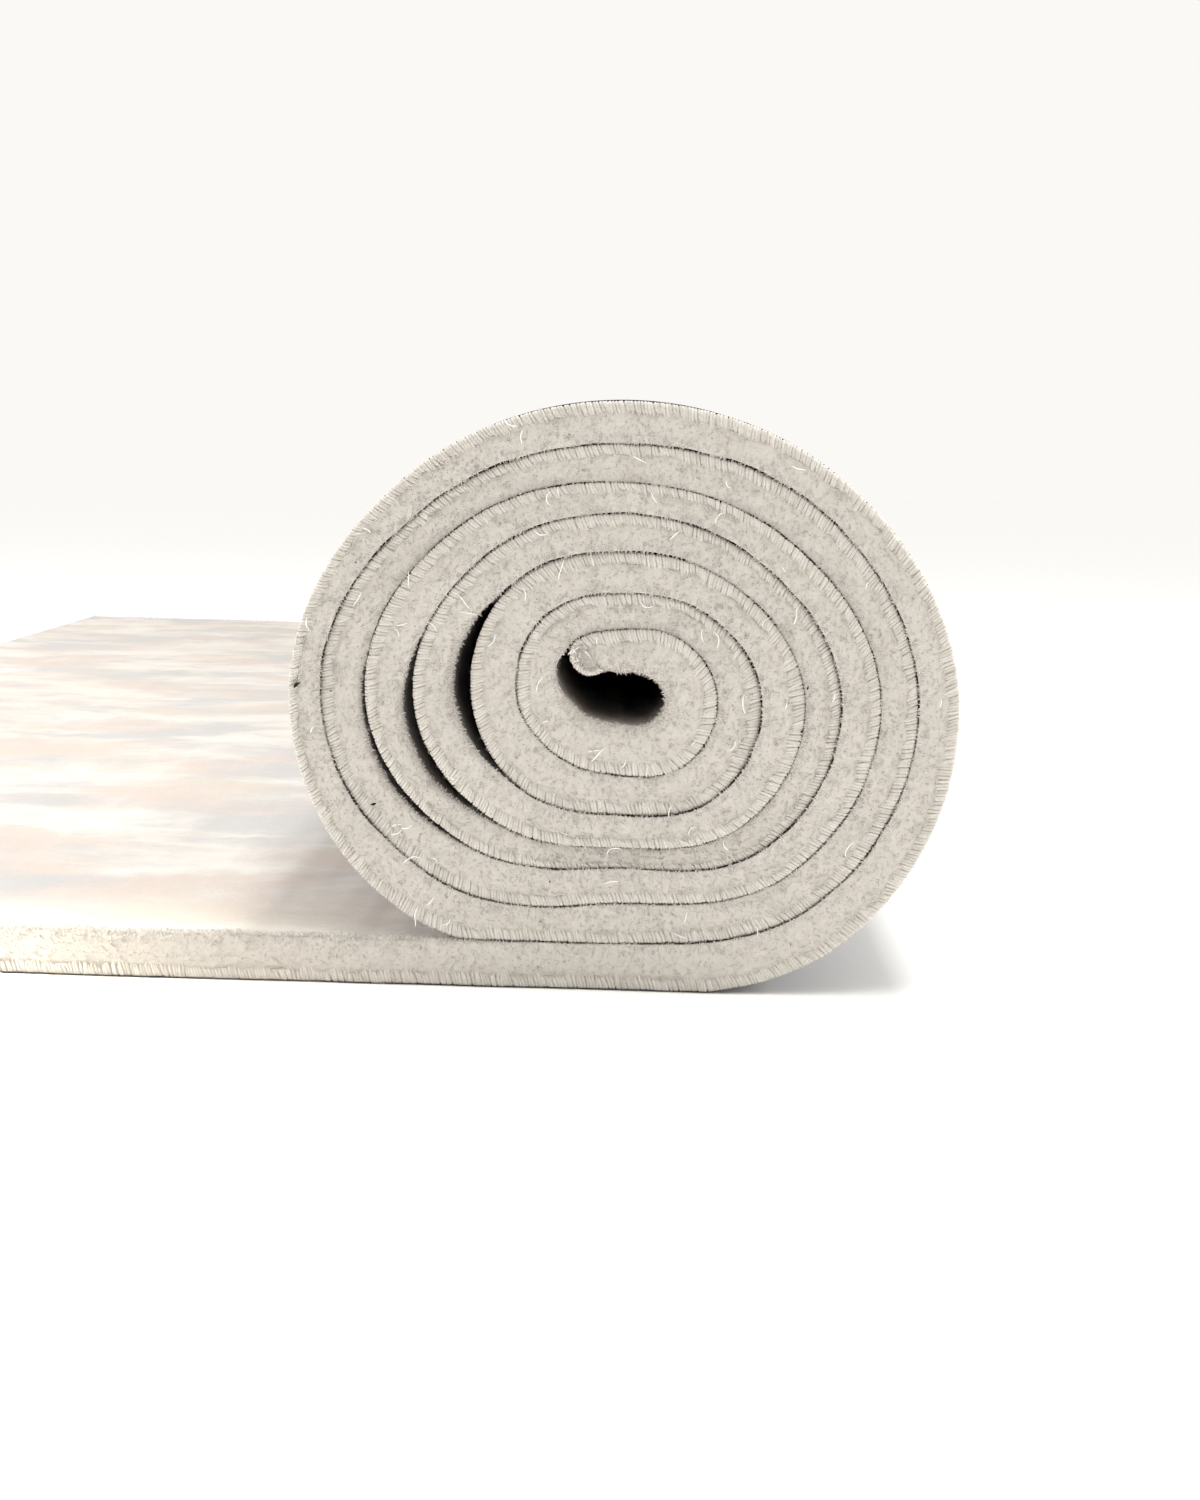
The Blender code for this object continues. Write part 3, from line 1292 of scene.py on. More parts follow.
def join(name: str, parts: Sequence[bpy.types.Object]) -> bpy.types.Object:
    """Join objects that all sit at the origin into the first one.

    Args:
        name: The joined object's name.
        parts: The objects.

    Returns:
        The joined object.
    """
    with bpy.context.temp_override(
        active_object=parts[0], selected_editable_objects=list(parts), object=parts[0]
    ):
        bpy.ops.object.join()
    parts[0].name = name
    parts[0].data.name = name
    return parts[0]


def yarn_core(piece: bpy.types.Object, shade: float, finish: bpy.types.Material) -> bpy.types.Object:
    """Give a core under the stitches the yarn's finish, at one shade.

    Args:
        piece: The core.
        shade: 0 for the finish's darkest tone and 1 for its lightest.
        finish: The yarn's material.

    Returns:
        The same object.
    """
    piece.data.materials.append(finish)
    layer = piece.data.attributes.new(SHADE, "FLOAT", "POINT")
    layer.data.foreach_set("value", np.full(len(piece.data.vertices), shade, np.float32))
    return piece


@dataclass
class PileField:
    """The cut pile with its foundation, and the fur of single fibre tips that covers what shows."""

    carpet: Carpet
    step: float = 1.7 * MM
    press: float = 0.3 * MM
    press_change: float = 0.3 * MM
    set_back: float = 0.5 * MM
    overlap: float = 1.9 * MM
    overlap_change: float = 0.6
    roughness: float = 0.2 * MM
    foundation: float = 1.55 * MM
    tight_shoulder: float = 0.65 * MM
    shoulder_change: float = 0.45 * MM
    widest_shoulder: float = 5.6 * MM
    side_rows: tuple[float, ...] = (0.0, 0.2, 0.45, 0.7, 1.0)
    shoulder_angles: tuple[float, ...] = (22.5, 45.0, 67.5, 90.0)
    across: tuple[float, ...] = (7.5, 11, 18, 30, 50, 90, 170, 300, 500, 750)
    fur_reach: float = 0.85 * MM
    fur_radius: float = 0.27 * MM
    fur_near: int = 46000
    fur_far: int = 9000
    fur_cap: int = 260
    fur_cap_turn: float = 0.56 * math.pi
    fur_cap_lowest: float = 1.3 * MM
    fur_cap_set_back: float = 0.2 * MM
    fur_cap_rounding: float = 1.8 * MM
    fur_set_back: float = 0.1 * MM
    # How far the lowest tips stand out, so that they lie over the stitches' ends
    fur_over_stitches: float = 0.45 * MM
    # Turned towards the face, in radians: at the stitches, how much more at the face, and at random
    fur_turn: tuple[float, float, float] = (0.05, 1.2, 0.3)
    fur_top: int = 6000
    fur_top_width: float = 9 * MM
    fur_top_from_roll: float = 40 * MM
    fur_top_inset: float = 1.6 * MM
    fur_top_sunk: float = 0.35 * MM
    # The far edge's tips are fewer, so each is larger
    far_coarser: float = 1.9
    shoulder_spread: float = 1.05
    shoulder_most: float = 0.75
    tuck: float = 0.35 * MM
    face_dip: float = 0.2 * MM

    def shoulder(self, lengths: np.ndarray) -> np.ndarray:
        """Work out how far the face's edge is rounded: more where no turn presses on it.

        Args:
            lengths: Metres along the back.

        Returns:
            Metres, one for each length.
        """
        winding = self.carpet.winding
        read = winding.at(lengths)
        uneven = Ripple(seed=53).along(lengths, 4 * MM)
        rounded = self.tight_shoulder + self.shoulder_spread * (read["space"] - winding.turn_gap)
        rounded = rounded + self.shoulder_change * uneven
        rounded = np.minimum(rounded, self.widest_shoulder)
        yarn_top = self.carpet.edge_yarn_height(read["thickness"])
        return np.minimum(rounded, self.shoulder_most * (read["thickness"] - yarn_top))

    def inset(self, lengths: np.ndarray, height: np.ndarray) -> np.ndarray:
        """How far behind the carpet's edge the cut side is, at each height from the back.

        Args:
            lengths: Metres along the back.
            height: Metres from the back, for each length.

        Returns:
            Metres inwards from the edge.
        """
        thickness = self.face(lengths)
        yarn_top = self.carpet.edge_yarn_height(thickness)
        shoulder = self.shoulder(lengths)
        over = np.clip((height - (thickness - shoulder)) / shoulder, 0, 1)
        rounded = shoulder * (1 - np.sqrt(1 - np.minimum(over, 0.999) ** 2))
        tucked = self.tuck * np.clip(1 - (height - yarn_top + self.overlap) / self.overlap, 0, 1)
        return self.set_back + rounded + tucked

    def low_edge(self, lengths: np.ndarray) -> np.ndarray:
        """The height at which the pile starts to hang over the stitches' ends, a little unevenly."""
        hang = self.overlap * (1 + self.overlap_change * Ripple(seed=59).along(lengths, 3.6 * MM))
        return self.carpet.edge_yarn_height(self.face(lengths)) - hang

    def face(self, lengths: np.ndarray) -> np.ndarray:
        """The height of the pile's face, where it just presses on the turn inside it."""
        uneven = Ripple(seed=29).along(lengths, 9 * MM)
        return self.carpet.winding.at(lengths)["thickness"] + self.press + self.press_change * uneven

    def outline(self, lengths: np.ndarray) -> tuple[np.ndarray, np.ndarray]:
        """Work out the outline across the width at each length.

        Args:
            lengths: Metres along the back.

        Returns:
            Places across the width and heights, a row for each length.
        """
        winding = self.carpet.winding
        thickness = self.face(lengths)
        yarn_top = self.low_edge(lengths)
        shoulder = self.shoulder(lengths)
        stem = winding.edge_yarn_width + winding.piece_gap
        same = np.ones_like(lengths)
        inwards = [stem * same, stem * same]
        heights = [self.foundation * same, yarn_top]
        rough = Ripple(seed=23)
        for share in self.side_rows:
            height = yarn_top + share * (thickness - shoulder - yarn_top)
            uneven = self.roughness * rough.over(lengths, height, 2.1 * MM, 1.5 * MM)
            inwards.append(self.inset(lengths, height) + uneven)
            heights.append(height)
        for angle in self.shoulder_angles:
            turn = math.radians(angle)
            inwards.append(self.set_back + shoulder * (1 - math.cos(turn)))
            heights.append(thickness - shoulder * (1 - math.sin(turn)))
        for distance in self.across:
            place = distance * MM
            inwards.append(place * same)
            dips = 1 + rough.over(lengths, place * same, 5 * MM, 5 * MM)
            heights.append(thickness - self.face_dip * dips)
        y_near = np.stack([-(self.carpet.half_width - d) for d in inwards], axis=1)
        height = np.stack(heights, axis=1)
        middle = np.zeros((len(lengths), 1))
        y = np.concatenate((y_near, middle, -y_near[:, ::-1]), axis=1)
        top = thickness[:, None] - self.face_dip
        return y, np.concatenate((height, top, height[:, ::-1]), axis=1)

    def field(self, finish: bpy.types.Material) -> bpy.types.Object:
        """Build the pile as one closed piece, from the inner end to the outer.

        Args:
            finish: The pile's material.

        Returns:
            The object.
        """
        total = self.carpet.winding.total
        lengths = np.linspace(0.0, total, round(total / self.step) + 1)
        piece = self.carpet.loft("carpet_pile", lengths, *self.outline(lengths))
        piece.data.materials.append(finish)
        return piece

    def side_fur(self, edge: Edge, finish: bpy.types.Material) -> bpy.types.Object:
        """Cover one cut side with short fibre tips, which lean towards the pile's face.

        Args:
            edge: Which long edge.
            finish: The fibres' material.

        Returns:
            The object.
        """
        near = edge is Edge.NEAR
        count = self.fur_near if near else self.fur_far
        coarser = 1.0 if near else self.far_coarser
        random = np.random.default_rng(31 + edge.value)
        lengths = random.uniform(0.0, self.carpet.winding.total, count)
        low = self.low_edge(lengths)
        share = self._fur_shares(random, count)
        height = low + share * (self.face(lengths) - low)
        inset = self.inset(lengths, height) + self.fur_set_back - self.fur_over_stitches * (1 - share) ** 3
        # Fibre tips stand out from the side, and turn with it where it rounds over to the face
        least, more, change = self.fur_turn
        turned = least + more * share**3 + random.uniform(-change, change, count)
        size = random.uniform(0.6, 1.25, count) * coarser
        seats = self.carpet.seats(
            lengths,
            edge.value * (self.carpet.half_width - inset),
            height,
            self.carpet.out_of_edge(edge, lengths, turned),
            np.stack((size, size, size * (0.7 + 0.5 * share)), axis=1),
        )
        for inner in (True, False):
            seats = seats.with_more(self._cap_seats(edge, inner, random, coarser))
        tree = RepeatTree(
            "side_fur", 41, lean=0.4, group_lean=0.5, group_size=11 * MM, size_change=0.2, tilt=0.3
        )
        return tree.repeat(f"side_fur_{edge.name.lower()}", seats, self.fibre_tip(), finish)

    def _fur_shares(self, random: np.random.Generator, count: int) -> np.ndarray:
        """Heights of the tips as shares of the cut side: closest together at its rounded top.

        Args:
            random: Where the random values come from.
            count: How many tips there are.

        Returns:
            Shares from 0 at the stitches to 1 at the pile's face.
        """
        which, place = random.uniform(0.0, 1.0, (2, count))
        at_top = 1 - 0.3 * place**1.5
        return np.where(which < 0.25, at_top, place)

    def _cap_seats(
        self, edge: Edge, inner: bool, random: np.random.Generator, coarser: float
    ) -> "Seats":
        """Seats over the small end of one cut end's rolled-over yarn.

        Args:
            edge: Which long edge.
            inner: Whether it is the end inside the roll.
            random: Where the random values come from.
            coarser: How much larger the tips are than at the near edge.

        Returns:
            The seats.
        """
        count = round(self.fur_cap / coarser**2)
        turns = random.uniform(-self.fur_cap_turn, self.fur_cap_turn, count)
        reach = np.sqrt(random.uniform(0.0, 0.98, count))
        flat = self.carpet.end_outline(inner, turns, reach)
        clear = flat[:, 1] > self.fur_cap_lowest
        count, reach, flat = int(clear.sum()), reach[clear], flat[clear]
        length = 0.0 if inner else self.carpet.winding.total
        inset = self.fur_cap_set_back + self.fur_cap_rounding * reach**8
        y = edge.value * (self.carpet.half_width - inset)
        points = np.stack((flat[:, 0], y + self.carpet.telescope(np.full(count, length)), flat[:, 1]), axis=1)
        middle = self.carpet.end_outline(inner, np.zeros(1), np.zeros(1))[0]
        outwards = (flat - middle) / self.carpet.winding.edge_yarn_width
        upright = np.stack((outwards[:, 0], np.full(count, edge.value * 0.9), outwards[:, 1]), axis=1)
        upright /= np.linalg.norm(upright, axis=1)[:, None]
        forward = np.tile((0.7, 0.0, 0.7), (count, 1))
        size = random.uniform(0.6, 1.3, count) * coarser
        return Seats(points, upright, forward, evenly(size), reach)

    def top_fur(self, finish: bpy.types.Material) -> bpy.types.Object:
        """Cover the near rim of the flat end's face with fibre tips.

        Args:
            finish: The fibres' material.

        Returns:
            The object.
        """
        winding = self.carpet.winding
        random = np.random.default_rng(37)
        wound = float(winding.length[len(winding.angles) - 1])
        lengths = random.uniform(wound + self.fur_top_from_roll, winding.total, self.fur_top)
        inwards = self.fur_top_inset + random.uniform(0.0, 1.0, self.fur_top) ** 1.5 * self.fur_top_width
        size = random.uniform(0.7, 1.3, self.fur_top)
        seats = self.carpet.seats(
            lengths,
            -(self.carpet.half_width - inwards),
            self.face(lengths) - self.fur_top_sunk,
            in_plane(winding.at(lengths)["square"]),
            evenly(size),
        )
        tree = RepeatTree(
            "top_fur", 43, lean=0.7, group_lean=0.9, group_size=14 * MM, size_change=0.2, tilt=0.7
        )
        return tree.repeat("top_fur", seats, self.fibre_tip(), finish)

    def fibre_tip(self) -> FibreTip:
        """One tip of the fur."""
        return FibreTip((0, 0, self.fur_reach), self.fur_radius)


@dataclass
class Backing:
    """The dark woven cloth over the carpet's back, inside the edge yarn."""

    carpet: Carpet
    step: float = 3.6 * MM
    thickness: float = 1.2 * MM
    across: tuple[float, ...] = (0.0, 3, 8, 18, 40, 80, 150, 260, 400, 600, 800)

    def build(self, finish: bpy.types.Material) -> bpy.types.Object:
        """Build the cloth as one closed sheet.

        Args:
            finish: The cloth's material.

        Returns:
            The object.
        """
        winding = self.carpet.winding
        lengths = np.linspace(0.0, winding.total, round(winding.total / self.step) + 1)
        half = self.carpet.half_width - winding.edge_yarn_width - winding.piece_gap
        near = [-(half - distance * MM) for distance in self.across]
        row = near + [0.0] + [-y for y in reversed(near)]
        y = np.tile(row + row[::-1], (len(lengths), 1))
        height = np.tile([0.0] * len(row) + [self.thickness] * len(row), (len(lengths), 1))
        piece = self.carpet.loft("carpet_backing", lengths, y, height)
        piece.data.materials.append(finish)
        return piece


@dataclass
class WhippedEdge:
    """The yarn overcast along one long edge, stitch beside stitch, over a soft core."""

    carpet: Carpet
    edge: Edge
    near_pitch: float = 1.05 * MM
    far_pitch: float = 1.6 * MM
    full_height: float = 5.2 * MM
    core_step: float = 2.6 * MM
    slant: float = 0.32
    # Millimetres up from the back at which a slanting stitch is straight over its seat
    slant_about: float = 2.5
    seat_change: float = 0.22
    height_change: float = 0.22
    nose_length: float = 19 * MM
    nose_rise: float = 0.55
    fuzz_hairs: int = 8000
    fuzz_reach: tuple[float, float, float] = (0.3 * MM, 0.0, 1.5 * MM)
    fuzz_radius: float = 0.11 * MM
    fuzz_lowest: float = 0.3 * MM
    fuzz_span: float = 4.4 * MM
    # One stitch, from under the backing round to the pile: millimetres inwards from the edge and
    # up from the back, and the yarn's girth there
    near_stitch: tuple[tuple[float, float, float], ...] = (
        (6.0, 0.72, 0.9),
        (1.5, 0.72, 1.0),
        (0.82, 1.1, 1.0),
        (0.68, 2.6, 1.0),
        (0.9, 4.0, 0.8),
        (1.9, 5.5, 0.3),
    )
    far_stitch: tuple[tuple[float, float, float], ...] = (
        (6.0, 1.06, 1.0),
        (1.35, 1.1, 1.0),
        (1.08, 2.6, 1.0),
        (1.2, 4.4, 0.9),
        (1.9, 5.3, 0.6),
    )

    @property
    def pitch(self) -> float:
        """The distance from stitch to stitch: coarser at the far edge, which is seen from further off."""
        return self.near_pitch if self.edge is Edge.NEAR else self.far_pitch

    @property
    def yarn_radius(self) -> float:
        """The yarn's radius, so that neighbouring stitches just press on each other."""
        return 0.66 * self.pitch

    def core(self) -> bpy.types.Object:
        """Build the carpet's bound edge under the stitches.

        Returns:
            The object.
        """
        winding = self.carpet.winding
        lengths = np.linspace(0.0, winding.total, round(winding.total / self.core_step) + 1)
        high = self.carpet.edge_yarn_height(winding.at(lengths)["thickness"])
        same = np.ones_like(lengths)
        inner, skin = 6.2 * MM, self.yarn_radius
        corners = (
            (inner * same, skin * same),
            (1.6 * MM * same, skin * same),
            (skin * same, 1.1 * MM * same),
            (skin * same, high - 2.0 * MM),
            (1.1 * MM * same, high - 0.7 * MM),
            (inner * same, high - 0.7 * MM),
        )
        y = self.edge.value * np.stack([self.carpet.half_width - inwards for inwards, _ in corners], axis=1)
        height = np.stack([rise for _, rise in corners], axis=1)
        return self.carpet.loft("edge_core", lengths, y, height)

    def stitches(self, finish: bpy.types.Material) -> bpy.types.Object:
        """Wrap the yarn round the edge, once for each stitch.

        Args:
            finish: The yarn's material.

        Returns:
            The object.
        """
        winding = self.carpet.winding
        count = round(winding.total / self.pitch)
        random = np.random.default_rng(71 + self.edge.value)
        uneven_seats = 0.5 + random.uniform(-self.seat_change, self.seat_change, count)
        lengths = (np.arange(count) + uneven_seats) * self.pitch
        lengths = np.clip(lengths, 0.0, winding.total)
        read = winding.at(lengths)
        uneven = Ripple(seed=83).along(lengths, 5 * MM)
        uneven = uneven + 0.8 * Ripple(seed=89).along(lengths, 1.7 * MM)
        rise = self.carpet.edge_yarn_height(read["thickness"]) / self.full_height
        rise = rise * (1 + self.height_change * uneven)
        same = np.ones(count)
        seats = self.carpet.seats(
            lengths,
            self.edge.value * self.carpet.half_width * same,
            0 * same,
            in_plane(read["square"]),
            np.stack((same, same, rise), axis=1),
        )
        for inner in (True, False):
            seats = seats.with_more(self._nose_seats(inner))
        near = self.edge is Edge.NEAR
        shape = self.near_stitch if near else self.far_stitch
        # Each stitch slants as it crosses the edge
        strand = Strand(
            points=[
                (self.slant * (height - self.slant_about) * MM, self.edge.value * inwards * MM, height * MM)
                for inwards, height, _ in shape
            ],
            radii=[self.yarn_radius * girth for _, _, girth in shape],
            sides=5 if near else 4,
        )
        tree = RepeatTree(
            "whip_stitches", 91, lean=0.07, group_lean=0.45, group_size=8 * MM, size_change=0.05
        )
        return tree.repeat("stitches", seats, strand, finish)

    def _nose_seats(self, inner: bool) -> "Seats":
        """Seats for the stitches that go on round a cut end, as seen from the side.

        Args:
            inner: Whether it is the end inside the roll.

        Returns:
            The seats.
        """
        count = round(self.nose_length / self.pitch)
        turns = np.linspace(-math.pi / 2, math.pi / 2, count)
        outline = self.carpet.end_outline(inner, turns, np.ones(count))
        middle = self.carpet.end_outline(inner, np.zeros(1), np.zeros(1))[0]
        inwards = middle - outline
        inwards /= np.linalg.norm(inwards, axis=1)[:, None]
        length = 0.0 if inner else self.carpet.winding.total
        y = self.edge.value * self.carpet.half_width + self.carpet.telescope(np.full(count, length))
        points = np.stack((outline[:, 0], y, outline[:, 1]), axis=1)
        forward = np.stack((-inwards[:, 1], inwards[:, 0]), axis=1)
        stretch = np.tile((1.0, 1.0, self.nose_rise), (count, 1))
        return Seats(points, in_plane(inwards), in_plane(forward), stretch, turns)

    def fuzz(self, finish: bpy.types.Material) -> bpy.types.Object:
        """Stand loose wool hairs round the outer corner of the stitches.

        Args:
            finish: The yarn's material.

        Returns:
            The object.
        """
        winding = self.carpet.winding
        count = self.fuzz_hairs
        random = np.random.default_rng(103)
        lengths = random.uniform(0.0, winding.total, count)
        height = self.fuzz_lowest + random.uniform(0.0, 1.0, count) ** 1.4 * self.fuzz_span
        inset = 0.35 * MM + 1.2 * MM * np.clip(1 - height / (1.2 * MM), 0, 1)
        turned = random.uniform(-0.9, 0.5, count) - 0.5 * np.clip(1 - height / (2 * MM), 0, 1)
        # Hairs under the flat end lie along the floor
        on_floor = winding.at(lengths)["back"][:, 1] < 1.5 * MM
        turned = np.where(on_floor, np.abs(turned), turned)
        size = random.uniform(0.5, 1.2, count)
        same = np.ones(count)
        seats = self.carpet.seats(
            lengths,
            self.edge.value * (self.carpet.half_width - inset),
            height,
            self.carpet.out_of_edge(self.edge, lengths, turned),
            np.stack((same, same, size), axis=1),
        )
        tree = RepeatTree(
            "edge_fuzz", 107, lean=0.9, group_lean=0.9, group_size=6 * MM, size_change=0.2, tilt=0.25
        )
        hair = FibreTip(self.fuzz_reach, self.fuzz_radius)
        return tree.repeat(f"edge_fuzz_{self.edge.name.lower()}", seats, hair, finish)

    def build(self, finish: bpy.types.Material) -> bpy.types.Object:
        """Build the whole edge as one piece.

        Args:
            finish: The yarn's material.

        Returns:
            The object.
        """
        core = yarn_core(self.core(), 0.0, finish)
        return join(f"whipped_edge_{self.edge.name.lower()}", [core, self.stitches(finish)])


@dataclass
class WhippedEnd:
    """The yarn overcast across one cut end, from the back right over to the pile's face."""

    carpet: Carpet
    name: str
    at_inner_end: bool
    pitch: float = 1.55 * MM
    yarn_radius: float = 0.8 * MM
    reach: float = 6.4 * MM
    width_left_bare: float = 2.6 * MM
    core_sides: int = 10
    # A little over a quarter turn each way, so that the core reaches into the pile
    core_turn: float = 0.56 * math.pi
    core_shade: float = 0.4
    stitch_degrees: tuple[float, ...] = (-75, -40, 0, 40, 75)
    # How far from the long edge, in millimetres, and how much of the full section is left there
    rounding: tuple[tuple[float, float], ...] = ((0.25, 0.5), (0.5, 0.72), (1.5, 0.84), (3.6, 0.87))

    def core(self) -> bpy.types.Object:
        """Build the bound end under the stitches: a half-round bar, rounded off at the long edges.

        Returns:
            The object.
        """
        half = self.carpet.half_width
        turns = np.linspace(-self.core_turn, self.core_turn, self.core_sides + 1)
        rings = [(-1, distance, reach) for distance, reach in self.rounding]
        rings += [(1, distance, reach) for distance, reach in reversed(self.rounding)]
        rows = []
        for side, distance, reach in rings:
            flat = self.carpet.end_outline(self.at_inner_end, turns, np.full(len(turns), reach))
            y = side * (half - distance * MM)
            rows += [(x, y, z) for x, z in flat]
        count = len(turns)
        faces = []
        for ring in range(len(rings) - 1):
            first, after = ring * count, (ring + 1) * count
            faces += [
                [first + k, first + (k + 1) % count, after + (k + 1) % count, after + k] for k in range(count)
            ]
        faces += [list(range(count))[::-1], list(range(len(rows) - count, len(rows)))]
        points = np.array(rows)
        return closed_mesh("end_core", points, faces, points[:, [0, 1]], rounded=False)

    def build(self, finish: bpy.types.Material) -> bpy.types.Object:
        """Build the whole end as one piece.

        Args:
            finish: The yarn's material.

        Returns:
            The object.
        """
        back, up, outwards, thickness = self.carpet.winding.end_section(self.at_inner_end)
        width = 2 * (self.carpet.half_width - self.width_left_bare)
        count = round(width / self.pitch)
        random = np.random.default_rng(97)
        y = -width / 2 + (np.arange(count) + 0.5 + random.uniform(-0.2, 0.2, count)) * self.pitch
        points = np.stack((np.full(count, back[0]), y, np.full(count, back[1])), axis=1)
        upright = np.tile((up[0], 0.0, up[1]), (count, 1))
        # The strand's own Y runs outwards from the end, so its X lies along the end
        sideways = np.cross((outwards[0], 0.0, outwards[1]), (up[0], 0.0, up[1]))
        forward = np.tile(sideways, (count, 1))
        seats = Seats(points, upright, forward, np.ones((count, 3)), y)
        radius = thickness / 2 - self.yarn_radius
        middle = thickness / 2
        path = [(0.0, -0.3 * MM, middle - radius)]
        for degrees in self.stitch_degrees:
            turn = math.radians(degrees)
            out = (self.reach - self.yarn_radius) * math.cos(turn)
            path.append((0.0, out, middle + radius * math.sin(turn)))
        path.append((0.0, -0.3 * MM, middle + radius))
        strand = Strand(points=path, radii=[self.yarn_radius] * len(path), sides=4)
        tree = RepeatTree("end_stitches", 101, lean=0.0, group_lean=0.0, group_size=9 * MM, size_change=0.0)
        stitches = tree.repeat("stitches", seats, strand, finish)
        return join(self.name, [yarn_core(self.core(), self.core_shade, finish), stitches])


@dataclass
class LooseFibres:
    """Curly wool hairs pulled out of the near edge, and dark lint caught on it."""

    carpet: Carpet
    hairs: int = 76
    end_hairs: int = 12
    hair_radius: float = 0.17 * MM
    hair_girths: tuple[float, ...] = (0.8, 1, 1, 1, 1, 0.8, 0.5)
    # Millimetres: how high a hair's root is, how far it reaches, how far past the cut end one starts
    hair_roots: tuple[float, float] = (2.5, 7.0)
    hair_reaches: tuple[float, float] = (2.5, 8.0)
    past_end: float = 4.5
    # The share of the carpet's length, from its inner end, on which the hairs are
    hairs_over: float = 0.80
    lint_girths: tuple[float, ...] = (0.3, 0.7, 1.0, 0.9, 0.7, 0.5, 0.2)
    # Lint: right of and above the winding centre, length and turn in degrees, all in millimetres
    lint: tuple[tuple[float, float, float, float], ...] = (
        # right, above, length, turn
        (-107.0, 0.8, 3.0, 95.0),
        (-95.5, 0.0, 1.0, 20.0),
        (-79.5, -36.5, 2.2, 200.0),
        (-88.0, 42.0, 0.9, 60.0),
        (-76.0, 30.5, 0.8, 130.0),
        (60.5, 4.6, 1.6, 80.0),
        (59.0, -9.5, 1.2, 40.0),
        (33.0, 78.0, 1.0, 10.0),
        (84.0, -46.0, 1.4, 120.0),
        (-22.0, -61.0, 0.9, 70.0),
    )

    def curl(
        self, random: np.random.Generator, start: np.ndarray, reach: float, heading: float
    ) -> list[tuple[float, float, float]]:
        """Bend one hair as it lies over the near face.

        Args:
            random: Where the random values come from.
            start: X and Z of its root.
            reach: Its length.
            heading: The direction in which it starts, in radians.

        Returns:
            Points from root to tip.
        """
        points = []
        steps = len(self.hair_girths)
        place, bend = np.array(start, float), random.uniform(-0.3, 0.3)
        for k in range(steps):
            stand = (0.35 + 0.9 * math.sin(math.pi * k / (steps - 1)) * random.uniform(0.6, 1.2)) * MM
            points.append((place[0], -self.carpet.half_width - stand, place[1]))
            heading += bend + random.uniform(-0.25, 0.25)
            place = place + np.array((math.cos(heading), math.sin(heading))) * reach / steps
        return points

    def build(self, finish: bpy.types.Material) -> bpy.types.Object:
        """Build the pale hairs as one piece.

        Args:
            finish: The hairs' material.

        Returns:
            The object.
        """
        random = np.random.default_rng(113)
        winding = self.carpet.winding
        made = []
        for number in range(self.hairs):
            length = winding.total * self.hairs_over * random.uniform(0.0, 1.0) ** 1.3
            at_end = number < self.end_hairs
            if at_end:
                length = 0.0
            read = winding.at(np.array([length]))
            height = min(random.uniform(*self.hair_roots) * MM, 0.7 * float(read["thickness"][0]))
            root = read["back"][0] + read["square"][0] * height
            reach = random.uniform(*self.hair_reaches) * MM
            if at_end:
                root = root - read["along"][0] * random.uniform(0.0, self.past_end) * MM
                reach = 0.5 * reach
            path = self.curl(random, root, reach, random.uniform(0, 2 * math.pi))
            radii = [self.hair_radius * girth for girth in self.hair_girths]
            made.append(Strand(points=path, radii=radii, sides=4).make(f"hair_{number}"))
        piece = join("loose_hairs", made)
        piece.data.materials.append(finish)
        return piece

    def build_lint(self, finish: bpy.types.Material) -> bpy.types.Object:
        """Build the dark lint as one piece.

        Args:
            finish: The lint's material.

        Returns:
            The object.
        """
        random = np.random.default_rng(127)
        centre = np.array((self.carpet.winding.centre_x, self.carpet.winding.centre_height))
        made = []
        for number, (right, above, reach, turn) in enumerate(self.lint):
            start = centre + np.array((right, above)) * MM
            path = self.curl(random, start, reach * MM, math.radians(turn))
            thickest = (0.1 + 0.16 * reach) * MM
            radii = [thickest * girth for girth in self.lint_girths]
            made.append(Strand(points=path, radii=radii, sides=5).make(f"lint_{number}"))
        piece = join("dark_lint", made)
        piece.data.materials.append(finish)
        return piece


# ---------------------------------------------------------------------------------------------
# The studio
# ---------------------------------------------------------------------------------------------


@dataclass(frozen=True)
class SoftLight:
    """One square light: where it stands and aims, both from the middle of the near face's foot."""

    name: str
    place: tuple[float, float, float]
    aim: tuple[float, float, float]
    side: float
    watts: float
    colour: str
    spread: float = 180.0

    def hang(self, foot: Vector) -> None:
        """Add the light.

        Args:
            foot: The point that its place and aim are measured from.
        """
        data = bpy.data.lights.new(self.name, "AREA")
        data.size = self.side
        data.energy = self.watts
        data.color = linear(self.colour)[:3]
        data.spread = math.radians(self.spread)
        light = bpy.data.objects.new(self.name, data)
        light.location = foot + Vector(self.place)
        ahead = Vector(self.aim) - Vector(self.place)
        light.rotation_euler = ahead.to_track_quat("-Z", "Y").to_euler()
        bpy.context.scene.collection.objects.link(light)


